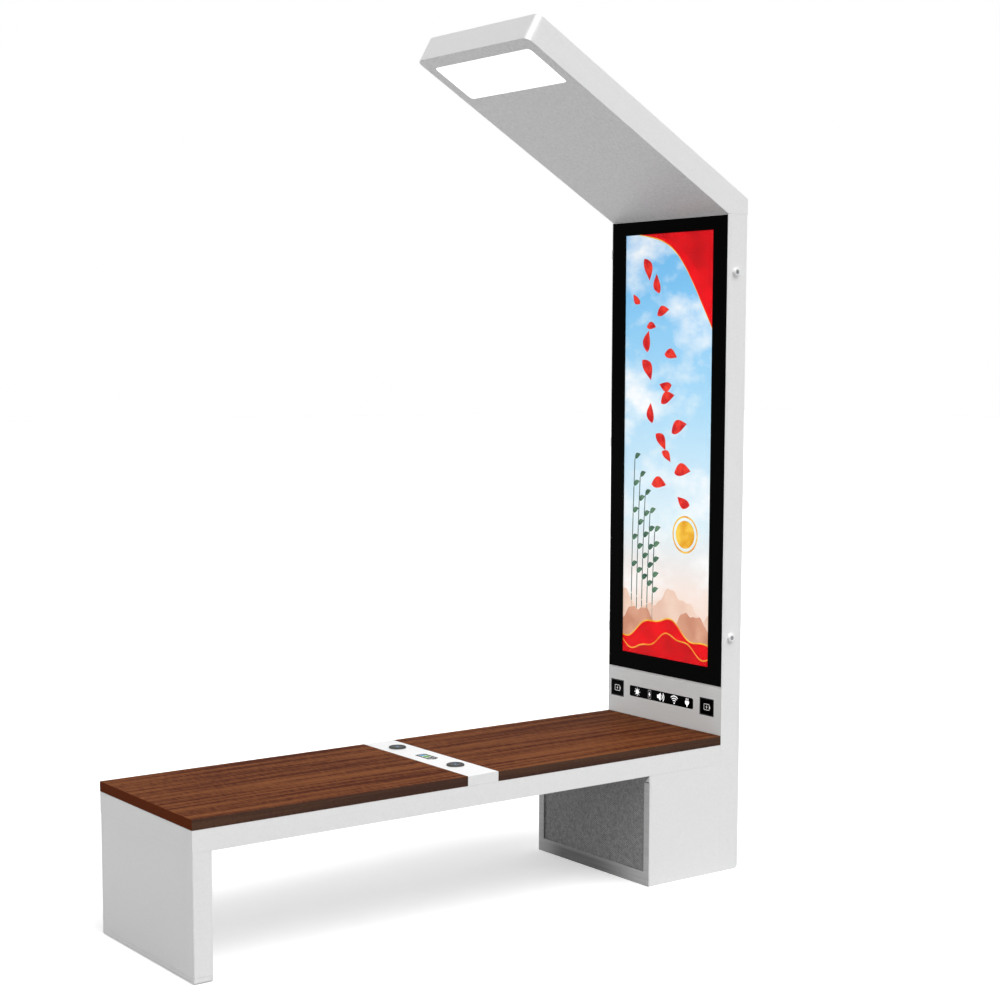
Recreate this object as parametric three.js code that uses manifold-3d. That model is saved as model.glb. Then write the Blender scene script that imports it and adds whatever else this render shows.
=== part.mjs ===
// Solar charging bench: a timber seat on a folded steel beam, a pedestal with the battery and the
// speaker, and a flat column with a hinged back-lit picture case that folds over into a canopy.
// Millimetres, +Z up. The origin is on the floor, under the middle of the bench. The column stands
// at +X, its display looks towards -X, and -Y is the side with the locks.

import * as THREE from 'three';
import { mergeVertices } from 'three/addons/utils/BufferGeometryUtils.js';
import Module from 'manifold-3d';

const wasm = await Module();
wasm.setup();

// Overall form
const benchLength = 1977;
const benchWidth = 572;
const seatHeight = 450;
const columnHeight = 2122;
const columnDepth = 85;
const pedestalLength = 387;
const canopyReach = 920;
const canopyDepth = 85;
const canopySlope = 30;

// Sheet, clearances and facets
const sheet = 3;
const gap = 0.3;
const bite = 1;
const overrun = 5;
const foldRadius = 5;
const roundSteps = 24;
const cornerSteps = 5;

// Leg and foot
const legThickness = 60;
const footHeight = 18;
const footRound = 8;
const footAnchorInset = 90;
const anchorRadius = 8;

// Seat beam
const beamHeight = 62;
const beamFlange = 40;
const ribCount = 4;
const ribHoleRadius = 15;
const accessRadius = 16;
const cablePort = 120;

// Timber slabs
const slabThickness = 30;
const slabEase = 1.5;

// Charging console
const consoleOffset = 891;
const consoleLength = 110;
const padFrontInset = 144;
const padRearInset = 111;
const padRadius = 27;
const padHeight = 5;
const padRound = 2.5;
const padDish = 1;
const padRim = 5;
const padStem = 20;
const coilRadius = 26;
const coilHeight = 14;

// Pedestal
const pedestalStrip = 25;
const pedestalSill = 44;
const pedestalNotch = 25;
const baseThickness = 12;
const baseAnchorInset = 50;
const grilleDepth = 4.5;
const grilleSheet = 1.5;

// Battery, controller and speaker
const batterySetback = 100;
const batteryRoom = 27;
const batteryWidth = 330;
const batteryHeight = 215;
const batteryOffset = 30;
const batteryEase = 6;
const terminalRadius = 8;
const terminalHeight = 12;
const terminalInset = 40;
const trayLip = 25;
const traySheet = 2;
const controllerWidth = 150;
const controllerHeight = 190;
const controllerDepth = 34;
const controllerFoot = 60;
const controllerEntry = 12;
const finCount = 9;
const finHeight = 11;
const finThickness = 3;
const speakerRadius = 65;
const speakerFlange = 3;
const speakerRim = 8;
const speakerBasketDepth = 30;
const speakerMagnetRadius = 36;
const speakerMagnetDepth = 22;
const speakerConeDepth = 18;
const speakerDomeRadius = 18;
const speakerHeight = 190;
const bracketWidth = 170;
const bracketSheet = 2;
const bracketFoot = 40;
const bracketTop = 30;

// Column
const columnFootRadius = 20;
const controlBand = 157;
const caseFlange = 7;
const fasciaFlange = 7;
const shelfNotch = 40;

// Control fascia, touch strip and socket modules
const fasciaThickness = 3;
const fasciaReturn = 15;
const controlRise = 85;
const stripClear = 32;
const stripHeight = 36;
const stripRadius = 6;
const boardThickness = 1.6;
const boardMargin = 8;
const boardChipCount = 5;
const boardChipSize = 14;
const boardChipHeight = 3;
const moduleWidth = 68;
const moduleHeight = 57;
const moduleDepth = 32;
const moduleWall = 3;
const moduleFrontClear = 22.5;
const moduleRearClear = 0.5;
const moduleEar = 3;
const moduleEarThickness = 2;
const recessClear = 0.7;
const flapThickness = 3;
const flapKnuckleRadius = 2.5;
const flapKnuckleClear = 0.6;
const trunnionRadius = 1.5;
const trunnionLength = 1.6;
const socketWidth = 13;
const socketHeight = 5.6;
const socketDepth = 14;
const socketPitch = 27;
const socketDrop = 3;

// Picture case
const caseGap = 1;
const rimDepth = 8;
const rimWall = 2;
const glassThickness = 5;
const pictureSideBorder = 68.5;
const pictureLowBorder = 60;
const pictureHighBorder = 47;
const windowMargin = 10;
const lightBoxInset = 24;
const lightBoxWall = 2;
const guideThickness = 6;
const ledBarWidth = 8;
const ledBarDepth = 10;
const backThickness = 2;
const backLip = 12;
const caseBackClear = 2.4;

// Hinges
const hingeSetback = 18;
const hingeRadius = 6;
const hingePinRadius = 3;
const hingeHalfLength = 32;
const hingeCap = 4;
const hingeLeafThickness = 3;
const hingeLeafReach = 30;
const hingeArmInset = 1;
const hingeHeightShares = { lower: 0.08, middle: 0.5, upper: 0.92 };

// Locks
const lockLowerRise = 161;
const lockUpperDrop = 182;
const lockHeadRadius = 14;
const lockHeadProud = 9;
const lockFaceRadius = 9.5;
const lockBarrelRadius = 9.7;
const lockBarrelLength = 13;
const lockNutRadius = 13;
const lockNutThickness = 4;
const plugRadius = 7;
const plugRecess = 1.5;
const keySlotWidth = 1.8;
const keySlotLength = 9;
const keySlotDepth = 5;
const plugTail = 7;
const camThickness = 3;
const camWidth = 14;
const camReach = 26;
const camScrewRadius = 5.5;
const camScrewHeight = 2.5;
const strikeThickness = 3;
const strikeOverlap = 1;
const strikeRise = 12;
const strikeHeight = 22;

// Lamp driver and harness
const driverDepth = 30;
const driverWidth = 60;
const driverHeight = 200;
const driverRise = 40;
const driverOffset = 70;
const harnessRadius = 6;
const harnessInset = 25;
const harnessBend = 45;
const harnessDive = 120;
const harnessShift = 24;
const harnessLanding = 16;

// Canopy, lamp and solar panel
const canopyWall = 3;
const canopyCorner = 25;
const kneeThickness = 5;
const kneeDrop = 130;
const kneeReach = 185;
const kneeClear = 1.2;
const lampLength = 162;
const lampSideMargin = 43;
const lampRadius = 12;
const lampEnd = 47;
const lensLip = 6;
const lensLipThickness = 2;
const housingMargin = 14;
const housingHeight = 26;
const housingWall = 2;
const housingFinCount = 9;
const housingFinHeight = 10;
const housingFinThickness = 1.6;
const lampBoardThickness = 2;
const lampBoardMargin = 8;
const ledRows = 3;
const ledColumns = 10;
const ledSize = 6;
const ledHeight = 1.5;
const panelStart = 10;
const panelEnd = 70;
const panelSideMargin = 30;
const panelLip = 10;
const panelLipThickness = 2;
const panelFrameDepth = 28;
const panelFrameWall = 3;
const panelLedge = 8;
const laminateThickness = 4;
const junctionLength = 100;
const junctionWidth = 80;
const junctionHeight = 18;
const junctionSetback = 110;

// Places worked out from the sizes above
const leftEnd = -benchLength / 2;
const rightEnd = benchLength / 2;
const frontSide = -benchWidth / 2;
const backSide = benchWidth / 2;
const columnFace = rightEnd - columnDepth;
const pedestalFace = rightEnd - pedestalLength;
const slabUnderside = seatHeight - slabThickness;
const beamUnderside = slabUnderside - beamHeight;
const consoleStart = leftEnd + consoleOffset;
const consoleEnd = consoleStart + consoleLength;
const batteryLength = pedestalLength - columnDepth - batterySetback - batteryRoom;
const speakerHole = speakerRadius - speakerRim;
const columnBack = columnDepth - sheet - gap;
const caseSeat = rimDepth + gap;
const fasciaSeat = fasciaThickness + gap;
const displayBottom = seatHeight + controlBand;
const controlHeight = seatHeight + controlRise;
const moduleEdge = sheet + fasciaFlange + moduleEar + moduleWidth / 2;
const modulePlaces = {
  front: frontSide + moduleEdge + moduleFrontClear,
  rear: backSide - moduleEdge - moduleRearClear,
};
const stripMiddle = (modulePlaces.front + modulePlaces.rear) / 2;
const stripLength = modulePlaces.rear - modulePlaces.front - moduleWidth - 2 * stripClear;
const flapPivotDepth = flapKnuckleRadius + gap;
const recessDepth = flapPivotDepth + flapKnuckleRadius + recessClear;
const caseBottom = displayBottom + caseGap;
const caseTop = columnHeight - caseGap;
const lightBoxDepth = columnBack - driverDepth - caseBackClear - backThickness - gap;
const lockSetback = lightBoxDepth - strikeThickness - strikeOverlap - camWidth / 2;
const lockPlaces = { lower: displayBottom + lockLowerRise, upper: columnHeight - lockUpperDrop };
const lampWidth = benchWidth - 2 * lampSideMargin;
const panelLength = canopyReach - panelStart - panelEnd;
const panelWidth = benchWidth - 2 * panelSideMargin;
const slopeAngle = THREE.MathUtils.degToRad(canopySlope);

// Finishes
const finish = (color, roughness, metalness) =>
  new THREE.MeshStandardMaterial({ color, roughness, metalness });
const whitePaint = finish(0xf1f1f1, 0.45, 0);
const timber = finish(0x6f432b, 0.6, 0);
const brushedSteel = finish(0xb0aeab, 0.4, 1);
const plainSteel = finish(0x9aa0a5, 0.45, 1);
const aluminium = finish(0xc4c7ca, 0.4, 1);
const darkMesh = finish(0x5f5f5f, 0.8, 0.3);
const blackPlastic = finish(0x161616, 0.35, 0);
const greyPlastic = finish(0x8b8e90, 0.6, 0);
const padRubber = finish(0x3b3b39, 0.6, 0);
const glass = finish(0x101012, 0.08, 0);
const printedFilm = finish(0x9fd0ee, 0.5, 0);
const clearAcrylic = finish(0xeef4f6, 0.15, 0);
const opalAcrylic = finish(0xffffff, 0.35, 0);
const boardGreen = finish(0x1f5a38, 0.6, 0);
const copperBrown = finish(0x8a5a34, 0.5, 0.3);
const cellBlue = finish(0x14203a, 0.15, 0);
const cableBlack = finish(0x1c1c1c, 0.7, 0);

// Solids from three.js geometry

function solid(geometry) {
  const plain = geometry.clone();
  plain.deleteAttribute('normal');
  plain.deleteAttribute('uv');
  const merged = mergeVertices(plain);
  const place = merged.attributes.position.array;
  const index = merged.index.array;
  const triangles = [];
  for (let i = 0; i < index.length; i += 3) {
    const [a, b, c] = [index[i], index[i + 1], index[i + 2]];
    if (a !== b && b !== c && c !== a) triangles.push(a, b, c);
  }
  const build = (list) =>
    new wasm.Manifold(
      new wasm.Mesh({
        numProp: 3,
        vertProperties: new Float32Array(place),
        triVerts: new Uint32Array(list),
      }),
    );
  const made = build(triangles);
  return made.volume() < 0 ? build(triangles.reverse()) : made;
}

const cut = (body, ...tools) => tools.reduce((rest, tool) => rest.subtract(tool), body);
const join = (body, ...others) => others.reduce((sum, other) => sum.add(other), body);

function part(parent, name, body, material) {
  const mesh = body.getMesh();
  const geometry = new THREE.BufferGeometry();
  geometry.setAttribute('position', new THREE.BufferAttribute(mesh.vertProperties, 3));
  geometry.setIndex(new THREE.BufferAttribute(mesh.triVerts, 1));
  const faceted = geometry.toNonIndexed();
  faceted.computeVertexNormals();
  const piece = new THREE.Mesh(faceted, material);
  piece.name = name;
  parent.add(piece);
}

function groupAt(parent, x, y, z) {
  const group = new THREE.Group();
  group.position.set(x, y, z);
  parent.add(group);
  return group;
}

function box([x0, x1], [y0, y1], [z0, z1]) {
  const geometry = new THREE.BoxGeometry(x1 - x0, y1 - y0, z1 - z0);
  geometry.translate((x0 + x1) / 2, (y0 + y1) / 2, (z0 + z1) / 2);
  return solid(geometry);
}

// A span of a given size about a middle
const about = (middle, size) => [middle - size / 2, middle + size / 2];

const inset = ([low, high], by) => [low + by, high - by];

// Points on an arc, both ends included
function arcPoints([x, y], radius, [from, to], steps) {
  return Array.from({ length: steps + 1 }, (_, i) => {
    const angle = from + (i / steps) * (to - from);
    return [x + radius * Math.cos(angle), y + radius * Math.sin(angle)];
  });
}

// A rectangle with its own radius at each corner, in the order low-low, high-low, high-high, low-high
function roundedRectangle([x0, x1], [y0, y1], radii) {
  const ways = [
    [x0, y0, 1, 1],
    [x1, y0, -1, 1],
    [x1, y1, -1, -1],
    [x0, y1, 1, -1],
  ];
  return ways.flatMap(([x, y, inX, inY], i) => {
    const radius = radii[i];
    const start = Math.PI + (i * Math.PI) / 2;
    const centre = [x + inX * radius, y + inY * radius];
    return radius > 0 ? arcPoints(centre, radius, [start, start + Math.PI / 2], cornerSteps) : [[x, y]];
  });
}

const evenCorners = (radius) => [radius, radius, radius, radius];

const circle = (x, y, radius) => arcPoints([x, y], radius, [0, Math.PI * 2], roundSteps).slice(1);

function extruded(points, depth) {
  const shape = new THREE.Shape(points.map(([x, y]) => new THREE.Vector2(x, y)));
  return new THREE.ExtrudeGeometry(shape, { depth, bevelEnabled: false });
}

// Prisms of an outline drawn in XY, XZ or YZ
function prismZ(points, [z0, z1]) {
  return solid(extruded(points, z1 - z0).translate(0, 0, z0));
}

function prismY(points, [y0, y1]) {
  return solid(extruded(points, y1 - y0).rotateX(Math.PI / 2).translate(0, y1, 0));
}

function prismX(points, [x0, x1]) {
  const turn = new THREE.Matrix4().makeBasis(
    new THREE.Vector3(0, 1, 0),
    new THREE.Vector3(0, 0, 1),
    new THREE.Vector3(1, 0, 0),
  );
  return solid(extruded(points, x1 - x0).applyMatrix4(turn).translate(x0, 0, 0));
}

// A block whose edges round its underside and its top have their own radii
function easedBlock(wide, long, tall, low, high) {
  const radii = [low, low, high, high];
  return prismY(roundedRectangle(wide, tall, radii), long).intersect(
    prismX(roundedRectangle(long, tall, radii), wide),
  );
}

// Turned pieces: a profile of [radius, height] pairs, about Z, or with its height along -Y or +X
function turnedGeometry(profile) {
  const points = profile.map(([radius, height]) => new THREE.Vector2(radius, height));
  const geometry = new THREE.LatheGeometry(points, roundSteps);
  geometry.rotateX(Math.PI / 2);
  return geometry;
}

const turned = (profile) => solid(turnedGeometry(profile));
const turnedOutward = (profile) => solid(turnedGeometry(profile).rotateX(Math.PI / 2));
const turnedAlongX = (profile) => solid(turnedGeometry(profile).rotateY(Math.PI / 2));

const closedProfile = (points) => [...points, points[0]];

// Evenly spaced middles inside a span
function evenly(count, [from, to]) {
  return Array.from({ length: count }, (_, i) => from + ((i + 0.5) / count) * (to - from));
}

// Left leg with its foot cap

function legOutline(by) {
  return roundedRectangle(
    inset([leftEnd, leftEnd + legThickness], by),
    inset([frontSide, backSide], by),
    evenCorners(Math.max(foldRadius - by, 0)),
  );
}

function makeLeg(parent) {
  const span = [footHeight + gap, beamUnderside - gap];
  const through = [-overrun, beamUnderside + overrun];
  const tube = cut(prismZ(legOutline(0), span), prismZ(legOutline(sheet), through));
  part(parent, 'left_leg', tube, whitePaint);

  const wide = [leftEnd, leftEnd + legThickness];
  const bar = easedBlock(wide, [frontSide, backSide], [0, footHeight], footRound, 0);
  const holes = [frontSide + footAnchorInset, backSide - footAnchorInset].map((y) =>
    prismZ(circle(leftEnd + legThickness / 2, y, anchorRadius), [-overrun, footHeight + overrun]),
  );
  const foot = bar.intersect(prismZ(legOutline(0), through));
  part(parent, 'left_foot', cut(foot, ...holes), whitePaint);
}

// Seat beam: a folded tray with inward flanges, an end plate and cross ribs

function makeBeam(parent) {
  const end = columnFace - gap;
  const tray = cut(
    box([leftEnd, end], [frontSide, backSide], [beamUnderside, slabUnderside]),
    box(
      [leftEnd + sheet, end + overrun],
      [frontSide + sheet, backSide - sheet],
      [beamUnderside + sheet, slabUnderside - sheet],
    ),
    box(
      [leftEnd + beamFlange, end + overrun],
      [frontSide + beamFlange, backSide - beamFlange],
      [slabUnderside - sheet - overrun, slabUnderside + overrun],
    ),
  );
  const ribs = evenly(ribCount, [leftEnd, end]).map((x) =>
    cut(
      box(
        about(x, sheet),
        [frontSide + sheet - bite, backSide - sheet + bite],
        [beamUnderside + sheet - bite, slabUnderside - sheet + bite],
      ),
      prismX(circle(0, beamUnderside + beamHeight / 2, ribHoleRadius), about(x, overrun)),
    ),
  );
  const floorCut = [beamUnderside - overrun, beamUnderside + sheet + overrun];
  const accessHoles = [frontSide + footAnchorInset, backSide - footAnchorInset].map((y) =>
    prismZ(circle(leftEnd + legThickness / 2, y, accessRadius), floorCut),
  );
  const port = box(about((pedestalFace + columnFace) / 2, cablePort), about(0, cablePort), floorCut);
  part(parent, 'seat_beam', cut(join(tray, ...ribs), port, ...accessHoles), whitePaint);
}

// Timber slabs, with eased edges

function makeSlab(parent, name, span) {
  const tall = [slabUnderside + gap, seatHeight];
  part(parent, name, easedBlock(span, [frontSide, backSide], tall, slabEase, slabEase), timber);
}

// Charging console: a steel cover between the slabs, two pads in its top and a coil under each

function makeConsole(parent) {
  const middle = consoleStart + consoleLength / 2;
  const padPlaces = { front: frontSide + padFrontInset, rear: backSide - padRearInset };
  const cover = cut(
    box([consoleStart, consoleEnd], [frontSide, backSide], [slabUnderside + gap, seatHeight]),
    box(
      [consoleStart + sheet, consoleEnd - sheet],
      [frontSide + sheet, backSide - sheet],
      [slabUnderside - overrun, seatHeight - sheet],
    ),
  );
  const holes = Object.values(padPlaces).map((y) =>
    prismZ(circle(middle, y, padStem + gap), about(seatHeight, 2 * (sheet + overrun))),
  );
  part(parent, 'charging_console', cut(cover, ...holes), whitePaint);

  for (const [end, y] of Object.entries(padPlaces)) {
    const seat = groupAt(parent, middle, y, seatHeight);
    part(seat, `charging_pad_${end}`, padSolid(), padRubber);
    part(seat, `coil_module_${end}`, coilSolid(), copperBrown);
  }
}

function padSolid() {
  const shoulder = padHeight - padRound;
  const dishRadius = padRadius - padRound - padRim;
  return turned([
    [0, -sheet],
    [padStem, -sheet],
    [padStem, gap],
    [padRadius, gap],
    [padRadius, shoulder],
    [padRadius - padRound * (1 - Math.SQRT1_2), shoulder + padRound * Math.SQRT1_2],
    [padRadius - padRound, padHeight],
    [dishRadius, padHeight],
    [dishRadius - padDish, padHeight - padDish],
    [0, padHeight - padDish],
  ]);
}

function coilSolid() {
  const top = -sheet - gap;
  const step = coilHeight / 3;
  return turned([
    [0, top - coilHeight],
    [coilRadius - step, top - coilHeight],
    [coilRadius, top - coilHeight + step],
    [coilRadius, top],
    [0, top],
  ]);
}

// Pedestal: side walls with returned front strips, a sill, a ground plate and a grille pan

function makePedestal(parent) {
  const top = beamUnderside - gap;
  const right = columnFace - gap;
  const plan = roundedRectangle([pedestalFace, right], [frontSide, backSide], [
    foldRadius,
    0,
    0,
    foldRadius,
  ]);
  const shell = cut(
    prismZ(plan, [0, top]),
    box(
      [pedestalFace + sheet, right + overrun],
      [frontSide + sheet, backSide - sheet],
      [-overrun, top + overrun],
    ),
    box(
      [pedestalFace - overrun, pedestalFace + sheet + overrun],
      [frontSide + pedestalStrip, backSide - pedestalStrip],
      [pedestalSill, top + overrun],
    ),
    box(
      [pedestalFace - overrun, pedestalFace + sheet + overrun],
      [frontSide + sheet, backSide - sheet],
      [beamUnderside - pedestalNotch, top + overrun],
    ),
  );
  part(parent, 'pedestal_shell', shell, whitePaint);

  const inner = [frontSide + sheet + gap, backSide - sheet - gap];
  const plate = box([pedestalFace + sheet + gap, right], inner, [0, baseThickness]);
  const holes = [pedestalFace + baseAnchorInset, right - baseAnchorInset].flatMap((x) =>
    [frontSide + baseAnchorInset, backSide - baseAnchorInset].map((y) =>
      prismZ(circle(x, y, anchorRadius), [-overrun, baseThickness + overrun]),
    ),
  );
  part(parent, 'pedestal_base', cut(plate, ...holes), plainSteel);

  const panFront = pedestalFace + sheet + gap;
  const panSpan = [baseThickness + gap, top];
  const pan = cut(
    box([panFront, panFront + grilleDepth], inner, panSpan),
    box(
      [panFront - overrun, panFront + grilleDepth - grilleSheet],
      [inner[0] + grilleSheet, inner[1] - grilleSheet],
      [panSpan[0] + grilleSheet, panSpan[1] - grilleSheet],
    ),
  );
  part(parent, 'grille_panel', pan, darkMesh);
  makeBattery(parent);
  makeSpeaker(parent, panFront + grilleDepth + gap);
}

function makeBattery(parent) {
  const floor = baseThickness + gap;
  const corner = groupAt(parent, pedestalFace + batterySetback, -batteryOffset, floor);
  const wall = traySheet + gap;
  const tray = cut(
    box([-wall, batteryLength + wall], about(0, batteryWidth + 2 * wall), [0, trayLip]),
    box([-gap, batteryLength + gap], about(0, batteryWidth + 2 * gap), [traySheet, trayLip + overrun]),
  );
  part(corner, 'battery_tray', tray, plainSteel);

  const low = traySheet + gap;
  const plan = roundedRectangle(
    [0, batteryLength],
    about(0, batteryWidth),
    evenCorners(batteryEase),
  );
  const posts = [terminalInset - batteryWidth / 2, batteryWidth / 2 - terminalInset].map((y) =>
    prismZ(
      circle(batteryLength / 2, y, terminalRadius),
      [low + batteryHeight - bite, low + batteryHeight + terminalHeight],
    ),
  );
  part(corner, 'battery', join(prismZ(plan, [low, low + batteryHeight]), ...posts), blackPlastic);
}

function makeSpeaker(parent, clearFace) {
  const floor = baseThickness + gap;
  const plateFront = clearFace + speakerFlange + 2 * gap;
  const seat = groupAt(parent, plateFront, 0, speakerHeight);
  const low = floor - speakerHeight;
  const high = speakerRadius + bracketTop;
  const angle = [
    [0, low],
    [bracketFoot, low],
    [bracketFoot, low + bracketSheet],
    [bracketSheet, low + bracketSheet],
    [bracketSheet, high],
    [0, high],
  ];
  const bracket = cut(
    prismY(angle, about(0, bracketWidth)),
    prismX(circle(0, 0, speakerHole + gap), [-overrun, bracketSheet + overrun]),
  );
  part(seat, 'speaker_bracket', bracket, plainSteel);

  const front = -gap - speakerFlange;
  const driver = turnedAlongX([
    [0, front + speakerConeDepth - speakerDomeRadius / 3],
    [speakerDomeRadius, front + speakerConeDepth],
    [speakerHole - speakerFlange, front],
    [speakerRadius, front],
    [speakerRadius, -gap],
    [speakerHole, -gap],
    [speakerHole, bracketSheet + gap],
    [speakerMagnetRadius, speakerBasketDepth],
    [speakerMagnetRadius, speakerBasketDepth + speakerMagnetDepth],
    [0, speakerBasketDepth + speakerMagnetDepth],
  ]);
  part(seat, 'speaker', driver, blackPlastic);
}

// Column: a folded channel that is open towards the seat, with inward flanges

function makeColumn(parent) {
  const column = groupAt(parent, columnFace, 0, 0);
  part(column, 'column_shell', columnSolid(), whitePaint);
  makeController(column);
  makeDriver(column);
  makeFascia(column);
  for (const [end, z] of Object.entries(lockPlaces)) makeLock(column, end, z);
  makeCase(column);
  makeKneePlate(column, 'front', [frontSide + sheet + gap, frontSide + sheet + gap + kneeThickness]);
  makeKneePlate(column, 'rear', [backSide - sheet - gap - kneeThickness, backSide - sheet - gap]);
  makeHarness(column);
}

function columnSolid() {
  const top = columnHeight - gap;
  const within = inset([frontSide, backSide], sheet);
  const back = columnDepth - sheet;
  const side = [
    [0, 0],
    ...arcPoints(
      [columnDepth - columnFootRadius, columnFootRadius],
      columnFootRadius,
      [-Math.PI / 2, 0],
      cornerSteps,
    ),
    [columnDepth, top],
    [caseSeat, top],
    [caseSeat, displayBottom],
    [0, displayBottom],
  ];
  const plan = roundedRectangle([-overrun, columnDepth], [frontSide, backSide], [
    0,
    foldRadius,
    foldRadius,
    0,
  ]);
  const block = prismY(side, [frontSide, backSide]).intersect(prismZ(plan, [-overrun, top + overrun]));

  const fasciaBack = fasciaSeat + sheet;
  const caseBack = caseSeat + sheet;
  const lowerHollow = roundedRectangle([fasciaBack, back], [sheet, displayBottom - sheet], [
    0,
    columnFootRadius - sheet,
    0,
    0,
  ]);
  const fasciaTall = [slabUnderside - bite, displayBottom];
  const lockHoles = Object.values(lockPlaces).map((z) =>
    prismY(
      circle(lockSetback, z, lockBarrelRadius + gap),
      [frontSide - overrun, frontSide + sheet + bite],
    ),
  );
  return cut(
    block,
    prismY(lowerHollow, within),
    box([-overrun, fasciaBack + bite], within, [sheet, slabUnderside]),
    box([-overrun, fasciaSeat], within, inset(fasciaTall, -bite)),
    box([0, fasciaBack + bite], inset(within, fasciaFlange), [fasciaTall[0], displayBottom - sheet]),
    box([caseBack, back], within, [displayBottom, top + overrun]),
    box([fasciaSeat, caseBack + bite], inset(within, caseFlange), [displayBottom, top + overrun]),
    box(
      [back - shelfNotch, back],
      [within[1] - shelfNotch, within[1]],
      [displayBottom - sheet - overrun, displayBottom + overrun],
    ),
    ...lockHoles,
  );
}

function makeController(column) {
  const middle = harnessPlace() + controllerEntry - controllerWidth / 2;
  const span = [controllerFoot, controllerFoot + controllerHeight];
  const front = columnBack - controllerDepth;
  const fins = evenly(finCount, about(middle, controllerWidth)).map((y) =>
    box([front - finHeight, front + bite], about(y, finThickness), span),
  );
  const body = box([front, columnBack], about(middle, controllerWidth), span);
  part(column, 'charge_controller', join(body, ...fins), aluminium);
}

function makeDriver(column) {
  const plan = roundedRectangle(
    [columnBack - driverDepth, columnBack],
    about(-driverOffset, driverWidth),
    evenCorners(foldRadius),
  );
  const low = displayBottom + driverRise;
  part(column, 'lamp_driver', prismZ(plan, [low, low + driverHeight]), greyPlastic);
}

// Control fascia with the touch strip and the two socket modules

function makeFascia(column) {
  const wide = [frontSide + sheet + gap, backSide - sheet - gap];
  const tall = [seatHeight + gap, displayBottom - sheet - gap];
  const [low, high] = tall;
  const channel = [
    [0, low],
    [fasciaReturn, low],
    [fasciaReturn, low + fasciaThickness],
    [fasciaThickness, low + fasciaThickness],
    [fasciaThickness, high - fasciaThickness],
    [fasciaReturn, high - fasciaThickness],
    [fasciaReturn, high],
    [0, high],
  ];
  const clear = fasciaFlange + gap;
  const ends = [
    [wide[0] - overrun, wide[0] + clear],
    [wide[1] - clear, wide[1] + overrun],
  ];
  const endCuts = ends.map((end) =>
    box([fasciaThickness, fasciaReturn + overrun], end, inset(tall, -overrun)),
  );
  const plate = cut(prismY(channel, wide), ...endCuts);
  const through = [-overrun, fasciaThickness + overrun];
  const stripHole = prismX(stripOutline(gap), through);
  const moduleHoles = Object.values(modulePlaces).map((y) =>
    box(through, about(y, moduleWidth + 2 * gap), about(controlHeight, moduleHeight + 2 * gap)),
  );
  part(column, 'control_fascia', cut(plate, stripHole, ...moduleHoles), brushedSteel);
  part(column, 'touch_strip', prismX(stripOutline(0), [0, fasciaThickness]), glass);

  const boardBack = fasciaSeat + boardThickness;
  const board = box(
    [fasciaSeat, boardBack],
    about(stripMiddle, stripLength + 2 * boardMargin),
    about(controlHeight, stripHeight + 2 * boardMargin),
  );
  const chips = evenly(boardChipCount, about(stripMiddle, stripLength)).map((y) =>
    box(
      [boardBack - boardThickness / 2, boardBack + boardChipHeight],
      about(y, boardChipSize),
      about(controlHeight, boardChipSize),
    ),
  );
  part(column, 'touch_board', join(board, ...chips), boardGreen);

  for (const [end, y] of Object.entries(modulePlaces)) {
    makeSocketModule(groupAt(column, 0, y, controlHeight), end);
  }
}

function stripOutline(grow) {
  return roundedRectangle(
    about(stripMiddle, stripLength + 2 * grow),
    about(controlHeight, stripHeight + 2 * grow),
    evenCorners(stripRadius + grow),
  );
}

function makeSocketModule(module, end) {
  const recessWidth = moduleWidth - 2 * moduleWall;
  const recessHeight = moduleHeight - 2 * moduleWall;
  const pivotHeight = recessHeight / 2 - flapKnuckleRadius - flapKnuckleClear;
  const block = join(
    box([0, moduleDepth], about(0, moduleWidth), about(0, moduleHeight)),
    box(
      [fasciaSeat, fasciaSeat + moduleEarThickness],
      about(0, moduleWidth + 2 * moduleEar),
      about(0, moduleHeight + 2 * moduleEar),
    ),
  );
  const sockets = [-socketPitch / 2, socketPitch / 2].map((y) =>
    box(
      [recessDepth - bite, recessDepth + socketDepth],
      about(y, socketWidth),
      about(-socketDrop, socketHeight),
    ),
  );
  const pivotSpan = about(0, recessWidth + 2 * (trunnionLength + gap));
  const body = cut(
    block,
    box([-overrun, recessDepth], about(0, recessWidth), about(0, recessHeight)),
    prismY(circle(flapPivotDepth, pivotHeight, trunnionRadius + gap), pivotSpan),
    ...sockets,
  );
  part(module, `usb_module_${end}`, body, blackPlastic);

  const pivot = groupAt(module, flapPivotDepth, 0, pivotHeight);
  const flapWidth = recessWidth - 2 * gap;
  const low = gap - recessHeight / 2 - pivotHeight;
  const flap = join(
    box(
      [-flapPivotDepth, flapThickness - flapPivotDepth],
      about(0, flapWidth),
      [low, -flapKnuckleRadius / 3],
    ),
    prismY(circle(0, 0, flapKnuckleRadius), about(0, flapWidth)),
    prismY(circle(0, 0, trunnionRadius), about(0, flapWidth + 2 * trunnionLength)),
  );
  part(pivot, `usb_flap_${end}`, flap, blackPlastic);
}

// Picture case: everything on it turns about the hinge axis behind its rear edge

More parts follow.
